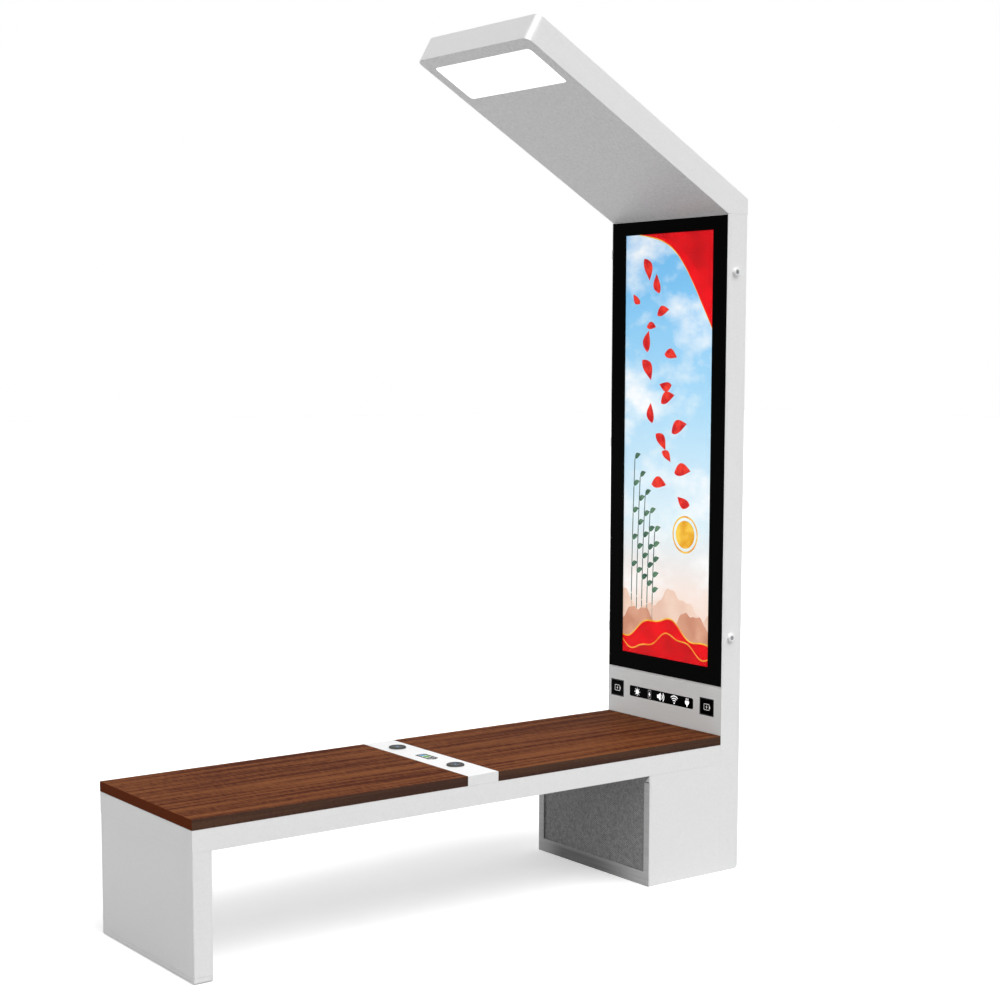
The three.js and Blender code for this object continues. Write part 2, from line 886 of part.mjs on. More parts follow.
function makeCase(column) {
  const axisX = hingeSetback;
  const axisY = backSide + hingeRadius + gap;
  const door = groupAt(column, axisX, axisY, 0);
  const shift = (body) => body.translate([-axisX, -axisY, 0]);
  const add = (name, body, material) => part(door, name, shift(body), material);

  const rimWide = [frontSide, backSide];
  const rimTall = [caseBottom, caseTop];
  const glassWide = [frontSide + rimWall, backSide - rimWall];
  const glassTall = [caseBottom + rimWall, caseTop - rimWall];
  const pictureTall = [displayBottom + pictureLowBorder, columnHeight - pictureHighBorder];
  const windowWide = inset(rimWide, pictureSideBorder - windowMargin);
  const windowTall = inset(pictureTall, -windowMargin);

  const frame = cut(
    box([0, rimDepth], rimWide, rimTall),
    box([-overrun, glassThickness + gap], glassWide, glassTall),
    box([0, rimDepth + overrun], windowWide, windowTall),
  );
  add('door_frame', frame, whitePaint);
  add('cover_glass', box([0, glassThickness], inset(glassWide, gap), inset(glassTall, gap)), glass);

  const film = box(
    [glassThickness + 2 * gap, rimDepth],
    inset(windowWide, gap),
    inset(windowTall, gap),
  );
  add('picture_sheet', film, printedFilm);

  const boxWide = inset(rimWide, lightBoxInset);
  const boxTall = inset(rimTall, lightBoxInset);
  const front = rimDepth + gap;
  const hollowWide = inset(boxWide, lightBoxWall);
  const hollowTall = inset(boxTall, lightBoxWall);
  const housing = cut(
    box([front, lightBoxDepth], boxWide, boxTall),
    box([front - overrun, lightBoxDepth + overrun], hollowWide, hollowTall),
  );
  add('light_box', housing, aluminium);

  const guideTall = inset(hollowTall, gap);
  const guideWide = inset(hollowWide, ledBarWidth + 2 * gap);
  add('light_guide', box([front, front + guideThickness], guideWide, guideTall), clearAcrylic);
  const barDepth = [front, front + ledBarDepth];
  const barFront = [hollowWide[0] + gap, hollowWide[0] + gap + ledBarWidth];
  const barRear = [hollowWide[1] - gap - ledBarWidth, hollowWide[1] - gap];
  add('led_bar_front', box(barDepth, barFront, guideTall), aluminium);
  add('led_bar_rear', box(barDepth, barRear, guideTall), aluminium);

  const lipWide = inset(hollowWide, gap);
  const lipTall = inset(hollowTall, gap);
  const coverFront = lightBoxDepth + gap;
  const cover = join(
    box([coverFront, coverFront + backThickness], boxWide, boxTall),
    cut(
      box([coverFront - backLip, coverFront + backThickness / 2], lipWide, lipTall),
      box(
        [coverFront - backLip - overrun, coverFront + backThickness],
        inset(lipWide, lightBoxWall),
        inset(lipTall, lightBoxWall),
      ),
    ),
  );
  add('door_back', cover, plainSteel);

  const camBack = lockSetback + camWidth / 2 + strikeOverlap;
  for (const [end, z] of Object.entries(lockPlaces)) {
    const strike = box(
      [camBack, camBack + strikeThickness],
      [frontSide + lockBarrelLength - strikeOverlap, frontSide + lightBoxInset - gap],
      [z + strikeRise, z + strikeRise + strikeHeight],
    );
    add(`strike_${end}`, strike, plainSteel);
  }

  for (const [end, share] of Object.entries(hingeHeightShares)) {
    const z = caseBottom + share * (caseTop - caseBottom);
    makeHinge(groupAt(column, axisX, axisY, z), groupAt(door, 0, 0, z), end);
  }
}

// Lift-off hinge: the fixed half carries the pin, the moving half drops over it

function makeHinge(fixedSeat, movingSeat, end) {
  const leafWide = [-hingeRadius, hingeLeafThickness - hingeRadius];
  const lowSpan = [-hingeHalfLength, -gap / 2];
  const highSpan = [gap / 2, hingeHalfLength];
  const pinEnd = hingeHalfLength - hingeCap;
  const fixed = join(
    prismZ(circle(0, 0, hingeRadius), lowSpan),
    prismZ(circle(0, 0, hingePinRadius), [-hingeHalfLength, pinEnd]),
    box([0, hingeLeafReach], leafWide, lowSpan),
  );
  part(fixedSeat, `hinge_${end}_fixed`, fixed, plainSteel);

  const moving = cut(
    join(
      prismZ(circle(0, 0, hingeRadius), highSpan),
      box([hingeArmInset - hingeSetback, 0], leafWide, highSpan),
    ),
    prismZ(circle(0, 0, hingePinRadius + gap), [-overrun, pinEnd + gap]),
  );
  part(movingSeat, `hinge_${end}_moving`, moving, plainSteel);
}

// Cam lock in the front side of the column. Heights run outward from the side wall's outer face.

function makeLock(column, end, z) {
  const seat = groupAt(column, lockSetback, frontSide, z);
  const bore = plugRadius + gap;
  const nutTop = -sheet - gap;
  const nutLow = nutTop - lockNutThickness;
  const shoulder = lockHeadProud / 3;
  const body = turnedOutward(
    closedProfile([
      [bore, -lockBarrelLength],
      [lockBarrelRadius, -lockBarrelLength],
      [lockBarrelRadius, nutLow],
      [lockNutRadius, nutLow],
      [lockNutRadius, nutTop],
      [lockBarrelRadius, nutTop],
      [lockBarrelRadius, gap],
      [lockHeadRadius, gap],
      [lockHeadRadius, shoulder],
      [(lockHeadRadius + lockFaceRadius) / 2, lockHeadProud - shoulder / 2],
      [lockFaceRadius, lockHeadProud],
      [bore + gap, lockHeadProud],
      [bore, lockHeadProud - 2 * gap],
    ]),
  );
  part(seat, `lock_${end}_body`, body, whitePaint);

  const inner = -lockBarrelLength - gap;
  const camLow = inner - gap - camThickness;
  const tailEnd = camLow - gap;
  const face = lockHeadProud - plugRecess;
  const plug = cut(
    join(
      prismY(circle(0, 0, plugRadius), [-face, -inner]),
      box(about(0, plugTail), [-inner - bite, -tailEnd + bite], about(0, plugTail)),
      prismY(circle(0, 0, camScrewRadius), [-tailEnd, -tailEnd + camScrewHeight]),
    ),
    box(about(0, keySlotWidth), [-face - overrun, -face + keySlotDepth], about(0, keySlotLength)),
  );
  part(seat, `lock_${end}_plug`, plug, plainSteel);

  const half = camWidth / 2;
  const camShape = roundedRectangle([-camReach, half], [-half, half], evenCorners(half));
  const camSpan = [-inner + gap, -camLow];
  const tailHole = box(
    about(0, plugTail + 2 * gap),
    [camSpan[0] - overrun, camSpan[1] + overrun],
    about(0, plugTail + 2 * gap),
  );
  part(seat, `lock_${end}_cam`, cut(prismY(camShape, camSpan), tailHole), plainSteel);
}

// Knee plates: they reach from inside the column into the canopy, one along each side wall

// A point above the fold, from its distance up the slope and its depth into the canopy
function slopePoint(along, depth) {
  return [
    depth * Math.sin(slopeAngle) - along * Math.cos(slopeAngle),
    depth * Math.cos(slopeAngle) + along * Math.sin(slopeAngle),
  ];
}

// Distance up the slope at which a line of that depth stands at a distance x behind the fold
function alongAt(x, depth) {
  return (depth * Math.sin(slopeAngle) - x) / Math.cos(slopeAngle);
}

function makeKneePlate(column, end, span) {
  const low = canopyWall + gap;
  const high = canopyDepth - canopyWall - gap;
  const front = caseSeat + sheet + gap + kneeClear;
  const back = Math.min(columnBack, columnDepth - canopyWall - gap);
  const points = [
    [front, -kneeDrop],
    [back, -kneeDrop],
    slopePoint(alongAt(back, high), high),
    slopePoint(kneeReach, high),
    slopePoint(kneeReach, low),
    [low / Math.sin(slopeAngle), 0],
    [front, 0],
  ];
  const lifted = points.map(([x, z]) => [x, z + columnHeight]);
  part(column, `knee_plate_${end}`, prismY(lifted, span), plainSteel);
}

// Canopy: a folded box that continues the column, with a lamp below and a solar panel above

function canopyOutline(wall) {
  const front = wall / Math.sin(slopeAngle);
  const back = columnDepth - wall;
  const high = canopyDepth - wall;
  return [
    [front, 0],
    slopePoint(canopyReach - wall, wall),
    slopePoint(canopyReach - wall, high),
    slopePoint(alongAt(back, high), high),
    [back, 0],
  ];
}

function makeCanopy(parent) {
  const canopy = groupAt(parent, columnFace, 0, columnHeight);
  const slope = groupAt(canopy, 0, 0, 0);
  slope.rotateY(slopeAngle);
  const turnUp = (body) => body.rotate([0, canopySlope, 0]);

  const planAt = (wall) =>
    prismZ(
      roundedRectangle(
        [wall - canopyReach, columnDepth + canopyDepth],
        [frontSide + wall, backSide - wall],
        [canopyCorner - wall, 0, 0, canopyCorner - wall],
      ),
      [-canopyDepth, 2 * canopyDepth],
    );
  const wide = [frontSide, backSide];
  const hollowWide = inset(wide, canopyWall);
  const outer = prismY(canopyOutline(0), wide).intersect(turnUp(planAt(0)));
  const bore = prismY(canopyOutline(canopyWall), hollowWide).intersect(turnUp(planAt(canopyWall)));
  const mouth = [canopyWall / Math.sin(slopeAngle), columnDepth - canopyWall];
  const inner = join(bore, box(mouth, hollowWide, [-overrun, bite]));
  const lampHole = prismZ(lampOutline(gap), [-overrun, canopyWall + overrun]);
  const panelHole = box(
    about(panelMiddle(), panelLength - 2 * panelLip + 2 * gap),
    about(0, panelWidth - 2 * panelLip + 2 * gap),
    [canopyDepth - canopyWall - overrun, canopyDepth + overrun],
  );
  part(canopy, 'canopy_shell', cut(outer, inner, turnUp(lampHole), turnUp(panelHole)), whitePaint);
  makeLamp(slope);
  makePanel(slope);
}

const lampMiddle = () => lampEnd + lampLength / 2 - canopyReach;
const panelMiddle = () => -panelStart - panelLength / 2;

function lampOutline(grow) {
  return roundedRectangle(
    about(lampMiddle(), lampLength + 2 * grow),
    about(0, lampWidth + 2 * grow),
    evenCorners(lampRadius + grow),
  );
}

function makeLamp(slope) {
  const low = canopyWall + gap;
  const lens = join(
    prismZ(lampOutline(0), [0, low + bite]),
    prismZ(lampOutline(lensLip), [low, low + lensLipThickness]),
  );
  part(slope, 'lamp_lens', lens, opalAcrylic);

  const top = low + housingHeight;
  const long = about(lampMiddle(), lampLength + 2 * housingMargin);
  const wide = about(0, lampWidth + 2 * housingMargin);
  const fins = evenly(housingFinCount, long).map((x) =>
    box(about(x, housingFinThickness), wide, [top - bite, top + housingFinHeight]),
  );
  const housing = cut(
    join(box(long, wide, [low, top]), ...fins),
    box(inset(long, housingWall), inset(wide, housingWall), [low - overrun, top - housingWall]),
  );
  part(slope, 'lamp_housing', housing, aluminium);

  const boardTop = top - housingWall - gap;
  const boardLow = boardTop - lampBoardThickness;
  const boardLong = inset(long, housingWall + lampBoardMargin);
  const boardWide = inset(wide, housingWall + lampBoardMargin);
  const leds = evenly(ledRows, boardLong).flatMap((x) =>
    evenly(ledColumns, boardWide).map((y) =>
      box(about(x, ledSize), about(y, ledSize), [boardLow - ledHeight, boardLow + ledHeight / 2]),
    ),
  );
  const board = join(box(boardLong, boardWide, [boardLow, boardTop]), ...leds);
  part(slope, 'lamp_board', board, opalAcrylic);
}

function makePanel(slope) {
  const lipLow = canopyDepth + gap;
  const top = lipLow + panelLipThickness;
  const lipLong = about(panelMiddle(), panelLength);
  const lipWide = about(0, panelWidth);
  const bodyLong = inset(lipLong, panelLip);
  const bodyWide = inset(lipWide, panelLip);
  const laminateLow = top - laminateThickness;
  const ledgeTop = laminateLow - gap;
  const within = (by, tall) => box(inset(bodyLong, by), inset(bodyWide, by), tall);
  const low = top - panelFrameDepth;
  const frame = cut(
    join(within(0, [low, top]), box(lipLong, lipWide, [lipLow, top])),
    within(panelFrameWall, [ledgeTop, top + overrun]),
    within(panelFrameWall + panelLedge, [low - overrun, top + overrun]),
    within(panelFrameWall, [low - overrun, ledgeTop - panelFrameWall]),
  );
  part(slope, 'solar_frame', frame, aluminium);

  const laminateLong = inset(bodyLong, panelFrameWall + gap);
  const laminateWide = inset(bodyWide, panelFrameWall + gap);
  part(slope, 'solar_laminate', box(laminateLong, laminateWide, [laminateLow, top]), cellBlue);

  const junctionTop = laminateLow - gap;
  const junction = box(
    about(-junctionSetback - panelStart, junctionLength),
    about(0, junctionWidth),
    [junctionTop - junctionHeight, junctionTop],
  );
  part(slope, 'junction_box', junction, blackPlastic);
}

// Harness: from the controller up the back of the column, over the fold and down to the lamp

function harnessPlace() {
  return backSide - harnessInset;
}

function makeHarness(column) {
  const back = columnBack - harnessRadius;
  const high = canopyDepth - canopyWall - gap - harnessRadius;
  const start = controllerFoot + controllerHeight + gap;
  const y = harnessPlace();
  const lampFace = canopyReach - lampEnd - lampLength - housingMargin - gap;
  const fold = alongAt(back, high);
  const onSlope = (along, depth, side) => {
    const [x, z] = slopePoint(along, depth);
    return new THREE.Vector3(x, side, columnHeight + z);
  };
  const upright = (z) => new THREE.Vector3(back, y, z);
  const corner = onSlope(fold, high, y);
  const path = new THREE.CurvePath();
  const beforeFold = upright(corner.z - harnessBend);
  const afterFold = onSlope(fold + harnessBend, high, y);
  const beforeDive = onSlope(lampFace - 2 * harnessDive, high, y);
  const landing = onSlope(lampFace - harnessDive / 2, harnessLanding, y - harnessShift);
  const end = onSlope(lampFace, harnessLanding, y - harnessShift);
  path.add(new THREE.LineCurve3(upright(start), beforeFold));
  path.add(new THREE.QuadraticBezierCurve3(beforeFold, corner, afterFold));
  path.add(new THREE.LineCurve3(afterFold, beforeDive));
  path.add(
    new THREE.CubicBezierCurve3(
      beforeDive,
      onSlope(lampFace - harnessDive, high, y),
      onSlope(lampFace - harnessDive, harnessLanding, y - harnessShift),
      landing,
    ),
  );
  path.add(new THREE.LineCurve3(landing, end));
  part(column, 'main_harness', tubeSolid(path), cableBlack);
}

// A tube of flat-sided section, ringed at stations that follow the curve and square to it
function tubeSolid(path) {
  const sides = 8;
  const rings = [];
  const steps = { LineCurve3: 1, QuadraticBezierCurve3: 8, CubicBezierCurve3: 10 };
  path.curves.forEach((curve, place) => {
    const count = steps[curve.type];
    for (let i = place === 0 ? 0 : 1; i <= count; i += 1) {
      rings.push({ at: curve.getPoint(i / count), way: curve.getTangent(i / count) });
    }
  });
  const vertices = [];
  for (const { at, way } of rings) {
    const side = new THREE.Vector3(0, 1, 0).addScaledVector(way, -way.y).normalize();
    const up = new THREE.Vector3().crossVectors(way, side);
    for (let i = 0; i < sides; i += 1) {
      const angle = ((i + 0.5) / sides) * Math.PI * 2;
      const point = at.clone();
      point.addScaledVector(side, harnessRadius * Math.cos(angle));
      point.addScaledVector(up, harnessRadius * Math.sin(angle));
      vertices.push(point.x, point.y, point.z);
    }
  }
  const index = [];
  for (let ring = 0; ring + 1 < rings.length; ring += 1) {
    for (let i = 0; i < sides; i += 1) {
      const a = ring * sides + i;
      const b = ring * sides + ((i + 1) % sides);
      index.push(a, b, b + sides, a, b + sides, a + sides);
    }
  }
  const last = (rings.length - 1) * sides;
  for (let i = 1; i + 1 < sides; i += 1) {
    index.push(0, i + 1, i, last, last + i, last + i + 1);
  }
  const geometry = new THREE.BufferGeometry();
  geometry.setAttribute('position', new THREE.BufferAttribute(new Float32Array(vertices), 3));
  geometry.setIndex(index);
  return solid(geometry);
}

// The whole bench

const bench = new THREE.Group();
makeLeg(bench);
makeBeam(bench);
makeSlab(bench, 'seat_slab_left', [leftEnd, consoleStart - gap]);
makeSlab(bench, 'seat_slab_right', [consoleEnd + gap, columnFace - gap]);
makeConsole(bench);
makePedestal(bench);
makeColumn(bench);
makeCanopy(bench);

export default bench;
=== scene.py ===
import math

import bmesh
import bpy
import numpy as np
from mathutils import Matrix, Vector


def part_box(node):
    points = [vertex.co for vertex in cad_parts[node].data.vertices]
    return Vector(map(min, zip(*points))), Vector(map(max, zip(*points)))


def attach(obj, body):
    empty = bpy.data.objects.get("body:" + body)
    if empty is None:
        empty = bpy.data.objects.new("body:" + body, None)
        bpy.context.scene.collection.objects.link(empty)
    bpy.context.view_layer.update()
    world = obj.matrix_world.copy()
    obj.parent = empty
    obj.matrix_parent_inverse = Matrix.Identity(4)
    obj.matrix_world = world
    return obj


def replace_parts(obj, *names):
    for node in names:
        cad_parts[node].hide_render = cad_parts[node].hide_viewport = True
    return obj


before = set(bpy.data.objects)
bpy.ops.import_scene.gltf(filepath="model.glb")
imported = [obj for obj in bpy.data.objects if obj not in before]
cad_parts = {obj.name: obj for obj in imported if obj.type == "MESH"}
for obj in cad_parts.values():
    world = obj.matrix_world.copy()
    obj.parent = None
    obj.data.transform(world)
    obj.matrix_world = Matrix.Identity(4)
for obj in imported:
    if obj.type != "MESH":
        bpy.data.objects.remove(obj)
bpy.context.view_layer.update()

mm = 0.001

# Studio
# A white cove: the floor and the sky behind it look white, and a large soft lamp stands in front of
# the bench, high up and a little to the right. The camera is at eye height, off the left end.


def linear(code):
    """Linear colour of an sRGB hex code: each channel through the sRGB curve."""
    share = np.array([int(code[i:i + 2], 16) for i in (1, 3, 5)]) / 255
    curve = np.where(share <= 0.04045, share / 12.92, ((share + 0.055) / 1.055) ** 2.4)
    return (*curve.tolist(), 1.0)


def live(node):
    """A node's first live output."""
    return next(output for output in node.outputs if output.enabled)


def add(tree, kind, inputs=None, to=None, **settings):
    """New node with its settings and links. An input is a value, an sRGB hex code, the socket that
    feeds it, or a node whose first live output does. The new node's own one feeds the socket to. A
    mix is one of colours."""
    made = tree.nodes.new(kind)
    if kind == "ShaderNodeMix":
        made.data_type = "RGBA"
    for key, value in settings.items():
        setattr(made, key, value)
    for key, value in (inputs or {}).items():
        if isinstance(value, bpy.types.Node):
            value = live(value)
        if isinstance(value, bpy.types.NodeSocket):
            tree.links.new(value, made.inputs[key])
        else:
            made.inputs[key].default_value = linear(value) if isinstance(value, str) else value
    if to:
        tree.links.new(live(made), to)
    return made


eye = Vector((-3.228, -4.7208, 1.666))
yaw, pitch, roll = 0.654, 0.1014, 0.005
ahead = Vector((math.sin(yaw) * math.cos(pitch), math.cos(yaw) * math.cos(pitch), -math.sin(pitch)))
level = Vector((math.cos(yaw), -math.sin(yaw), 0))
lift = level.cross(ahead)
across = math.cos(roll) * level + math.sin(roll) * lift
upward = math.cos(roll) * lift - math.sin(roll) * level
lens = bpy.data.cameras.new("camera")
lens.lens = 68.047
lens.sensor_width = 36
lens.shift_x = -0.04234
lens.shift_y = 0.0503
camera = bpy.data.objects.new("camera", lens)
camera.matrix_world = Matrix.Translation(eye) @ Matrix((across, upward, -ahead)).transposed().to_4x4()
bpy.context.scene.collection.objects.link(camera)
bpy.context.scene.camera = camera
bpy.context.scene.view_settings.view_transform = "Standard"


def looked_at(tree):
    """1 for what is seen straight, in a mirror or through glass, and 0 for what only sheds light."""
    path = add(tree, "ShaderNodeLightPath").outputs
    seen = add(tree, "ShaderNodeMath", {0: path["Is Camera Ray"], 1: path["Is Glossy Ray"]},
               operation="MAXIMUM")
    return add(tree, "ShaderNodeMath", {0: seen, 1: path["Is Transmission Ray"]}, operation="MAXIMUM")


sky_light, floor_bounce, floor_glow, floor_reach = 0.58, 0.38, 0.35, 40

world = bpy.data.worlds.new("white cove")
world.use_nodes = True
tree = world.node_tree
background = tree.nodes["Background"].inputs
background["Color"].default_value = (1, 1, 1, 1)
add(tree, "ShaderNodeMapRange", {"Value": looked_at(tree), "To Min": sky_light}, background["Strength"])
bpy.context.scene.world = world

floor_material = bpy.data.materials.new("white_cove_floor")
floor_material.use_nodes = True
tree = floor_material.node_tree
sockets = tree.nodes["Principled BSDF"].inputs
sockets["Roughness"].default_value = 1.0
sockets["Specular IOR Level"].default_value = 0.0
sockets["Emission Color"].default_value = (1, 1, 1, 1)
seen = looked_at(tree)
add(tree, "ShaderNodeMapRange", {"Value": seen, "To Min": floor_bounce}, sockets["Base Color"])
add(tree, "ShaderNodeMath", {0: seen, 1: floor_glow}, sockets["Emission Strength"], operation="MULTIPLY")
corners = [(x * floor_reach, y * floor_reach, 0) for x, y in [(-1, -1), (1, -1), (1, 1), (-1, 1)]]
sheet = bpy.data.meshes.new("floor")
sheet.from_pydata(corners, [], [(0, 1, 2, 3)])
sheet.materials.append(floor_material)
floor = bpy.data.objects.new("floor", sheet)
bpy.context.scene.collection.objects.link(floor)

# The key lamp lights everything. The softbox over the camera's left shoulder shows only in gloss, as
# the glint on the canopy's corner.
for name, toward, brightness, spread, everywhere in [
        ("key_lamp", (0.20, -0.50, 0.86), 1.95, 50, True),
        ("corner_softbox", (-0.46, -0.43, 0.78), 9.0, 60, False)]:
    sun = bpy.data.lights.new(name, "SUN")
    sun.energy = brightness
    sun.angle = math.radians(spread)
    lamp = bpy.data.objects.new(name, sun)
    lamp.matrix_world = Vector(toward).to_track_quat("Z", "Y").to_matrix().to_4x4()
    lamp.visible_diffuse = everywhere
    lamp.visible_transmission = everywhere
    bpy.context.scene.collection.objects.link(lamp)

# Left leg and its foot cap
# A box leg folded from 3 mm steel and welded up, with a shallow cap under it that takes two ground
# anchors. Both are white powder coat, so their folds are soft and slightly rounded.


def finish(name, colour, roughness, **more):
    """New material: its tree, its Principled shader's sockets and the object coordinates."""
    made = bpy.data.materials.new(name)
    made.use_nodes = True
    tree = made.node_tree
    sockets = tree.nodes["Principled BSDF"].inputs
    sockets["Base Color"].default_value = linear(colour)
    sockets["Roughness"].default_value = roughness
    for socket, value in more.items():
        sockets[socket.replace("_", " ")].default_value = value
    return made, tree, sockets, add(tree, "ShaderNodeTexCoord").outputs["Object"]


def per(size):
    """Texture scale of a pattern whose grain is that many millimetres."""
    return 1000 / size


# Sockets of a colour mix: how much of the second colour, and the two colours
factor, first, second = 0, 6, 7

# White powder coat: polyester powder baked on steel. It gives a satin white with a fine orange peel
# (grain 3 mm here so that it shows) and a trace of speckle from the spray gun.
powder_coat, tree, sockets, place = finish("white_powder_coat", "#F0F0F0", 0.42)
peel = add(tree, "ShaderNodeTexNoise", {"Vector": place, "Scale": per(3), "Detail": 3.0})
speckle = add(tree, "ShaderNodeTexNoise", {"Vector": place, "Scale": per(6), "Detail": 4.0})
tint = add(tree, "ShaderNodeMix", {factor: speckle, first: "#EAEAEA", second: "#F6F6F6"})
add(tree, "ShaderNodeMapRange", {"Value": speckle, "To Min": 0.36, "To Max": 0.48}, sockets["Roughness"])
# Faces that look down are painted a little darker on the whole, as shade, and mottled in clouds of 9 mm
mottle = add(tree, "ShaderNodeTexNoise", {"Vector": place, "Scale": per(9), "Detail": 3.0,
                                          "Roughness": 0.7})
mottle = add(tree, "ShaderNodeMapRange", {"Value": mottle, "From Min": 0.3, "From Max": 0.7})
shaded_mottle = add(tree, "ShaderNodeMix", {factor: mottle, first: "#E2E2E2", second: "#F8F8F8"})
facing = add(tree, "ShaderNodeSeparateXYZ", {0: add(tree, "ShaderNodeTexCoord").outputs["Normal"]})
looks_down = add(tree, "ShaderNodeMapRange", {"Value": facing.outputs["Z"], "From Min": -0.4,
                                              "From Max": -0.8})
# Where a face looks down it takes the darker mottle: painted shade
add(tree, "ShaderNodeMix", {factor: looks_down, first: tint, second: shaded_mottle}, sockets["Base Color"])
add(tree, "ShaderNodeBump", {"Height": peel, "Distance": 0.04 * mm}, sockets["Normal"])

# An edge over this angle is a fold. In millimetres: the gap between butted pieces, and how near to a
# plane a point lies on it.
fold_angle = math.radians(40)
gap = 0.3
on_plane = 0.1


def box_mm(node):
    """Low corner, high corner and middle of a node's box in millimetres."""
    low, high = [np.array(corner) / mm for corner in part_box(node)]
    return low, high, (low + high) / 2


def on(axis, *places):
    """Test for an edge that lies in a plane across an axis, at one of the places in millimetres."""
    index = "xyz".index(axis)
    return lambda edge: any(all(abs(end.co[index] / mm - at) < on_plane for end in edge.verts)
                            for at in places)


def shown(name, mesh, material, body):
    """Object of a mesh in its material: smooth up to the fold angle, and riding on its body."""
    mesh.polygons.foreach_set("use_smooth", [True] * len(mesh.polygons))
    mesh.set_sharp_from_angle(angle=fold_angle)
    mesh.materials.append(material)
    made = bpy.data.objects.new(name, mesh)
    bpy.context.scene.collection.objects.link(made)
    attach(made, body)
    return made


def eased(node, name, material, width, seams=(), body="root"):
    """A node's solid with its doubles merged and its edges rounded to a width in millimetres. Edges
    along a seam stay sharp, because they are welded or butted there. Large faces keep their own
    normal, so they stay flat beside a rounded edge."""
    work = bmesh.new()
    work.from_mesh(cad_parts[node].data)
    bmesh.ops.remove_doubles(work, verts=work.verts, dist=0.01 * mm)
    bmesh.ops.dissolve_limit(work, angle_limit=math.radians(1), verts=work.verts, edges=work.edges)
    folds = [edge for edge in work.edges if len(edge.link_faces) == 2
             and edge.calc_face_angle() > fold_angle and not any(seam(edge) for seam in seams)]
    if width:
        bmesh.ops.bevel(work, geom=folds, offset=width * mm, offset_type="OFFSET", segments=3,
                        profile=0.5, affect="EDGES", clamp_overlap=False)
    mesh = bpy.data.meshes.new(name)
    work.to_mesh(mesh)
    work.free()
    made = shown(name, mesh, material, body)
    flat = made.modifiers.new("flat faces", "WEIGHTED_NORMAL")
    flat.mode = "FACE_AREA"
    flat.weight = 80
    flat.keep_sharp = True
    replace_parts(made, node)


# Seams where the leg, the console, the pedestal and the column meet the beam and one another
beam_low, beam_high, _ = box_mm("seat_beam")
column_front = box_mm("column_shell")[0][0]
beam_seams = (on("z", beam_low[2] - gap, beam_low[2], beam_high[2], beam_high[2] + gap),
              on("x", column_front - gap, column_front))
eased("left_leg", "left_leg_shell", powder_coat, 0.8, beam_seams)
eased("left_foot", "left_foot_cap", powder_coat, 0.6)

# Seat beam
# One long tray of folded 3 mm steel with inward flanges and welded ribs. It bridges the leg and the
# pedestal and carries everything that is sat on.
eased("seat_beam", "seat_beam_tray", powder_coat, 0.8, beam_seams)

# Timber slabs
# Two solid slabs of red-brown hardwood, 30 mm thick. The grain runs along the bench, the long sides are
# painted darker and greyer as shade, and the ends show the growth layers.

# Oiled hardwood: no film on the surface, so it hardly shines. Streaks 7 to 30 mm wide run the length
# of the slab, and between them the fibres ripple in short slanting lines 4 mm apart, drawn at 8 mm.
hardwood, tree, sockets, place = finish("oiled_hardwood", "#6A3F29", 0.65, Specular_IOR_Level=0.018)
along = add(tree, "ShaderNodeMapping", {"Vector": place, "Scale": (0.035, 1.0, 1.0)})
broad = add(tree, "ShaderNodeTexNoise", {"Vector": along, "Scale": per(30), "Detail": 2.0})
fine = add(tree, "ShaderNodeMapping", {"Vector": place, "Scale": (0.014, 1.0, 1.0)})
streak = add(tree, "ShaderNodeTexNoise", {"Vector": fine, "Scale": per(7), "Detail": 4.0,
                                          "Roughness": 0.72})
slant = add(tree, "ShaderNodeMapping", {"Vector": place, "Rotation": (0, 0, math.radians(62)),
                                        "Scale": (1.0, 0.28, 1.0)})
ripple = add(tree, "ShaderNodeTexNoise", {"Vector": slant, "Scale": per(8), "Detail": 2.0,
                                          "Distortion": 0.3})
grain = add(tree, "ShaderNodeMath", {0: broad, 1: streak}, operation="ADD")
grain = add(tree, "ShaderNodeMapRange", {"Value": grain, "From Min": 0.78, "From Max": 1.22})
ripple_share = 0.3
fibres = add(tree, "ShaderNodeMapRange", {"Value": ripple, "From Min": 0.3, "From Max": 0.7,
                                          "To Max": ripple_share})
figured = add(tree, "ShaderNodeMath", {0: grain, 1: 1 - ripple_share, 2: fibres},
              operation="MULTIPLY_ADD")
tone = add(tree, "ShaderNodeMapRange", {"Value": figured, "From Min": 0.24, "From Max": 0.76})
top_tone = add(tree, "ShaderNodeMix", {factor: tone, first: "#471D0C", second: "#7B4827"})
# The long sides, facing front and back, take a darker and greyer tone: painted shade
side_shade_tone = add(tree, "ShaderNodeMix", {factor: tone, first: "#47322A", second: "#563D30"})


def apart(size):
    """Scale of a wave texture whose crests lie that many millimetres apart."""
    return per(size) * math.pi / 10


# Growth layers on the sawn ends: about seven lines in the thickness of the slab
layers = add(tree, "ShaderNodeTexWave", {"Vector": place, "Scale": apart(4.3), "Distortion": 0.8,
                                         "Detail": 2.0}, bands_direction="Z")
end_tone = add(tree, "ShaderNodeMix", {factor: layers.outputs["Fac"], first: "#582408",
                                       second: "#6A2F12"})
facing = add(tree, "ShaderNodeSeparateXYZ", {0: add(tree, "ShaderNodeTexCoord").outputs["Normal"]})
side = add(tree, "ShaderNodeMath", {0: facing.outputs["Y"]}, operation="ABSOLUTE")
end = add(tree, "ShaderNodeMath", {0: facing.outputs["X"]}, operation="ABSOLUTE")
wood = add(tree, "ShaderNodeMix", {factor: side, first: top_tone, second: side_shade_tone})
add(tree, "ShaderNodeMix", {factor: end, first: wood, second: end_tone}, sockets["Base Color"])
add(tree, "ShaderNodeBump", {"Height": figured, "Distance": 0.1 * mm}, sockets["Normal"])
for side_name in ("left", "right"):
    eased(f"seat_slab_{side_name}", f"seat_slab_{side_name}_timber", hardwood, 0)

# Charging console
# A folded steel cover that closes the gap between the slabs, with two round pads let into it. Each
# pad is a soft-touch moulding over a coil, with a shallow dish, a blue pilot dot and pale blue arcs.
eased("charging_console", "charging_console_cover", powder_coat, 0.6, beam_seams)


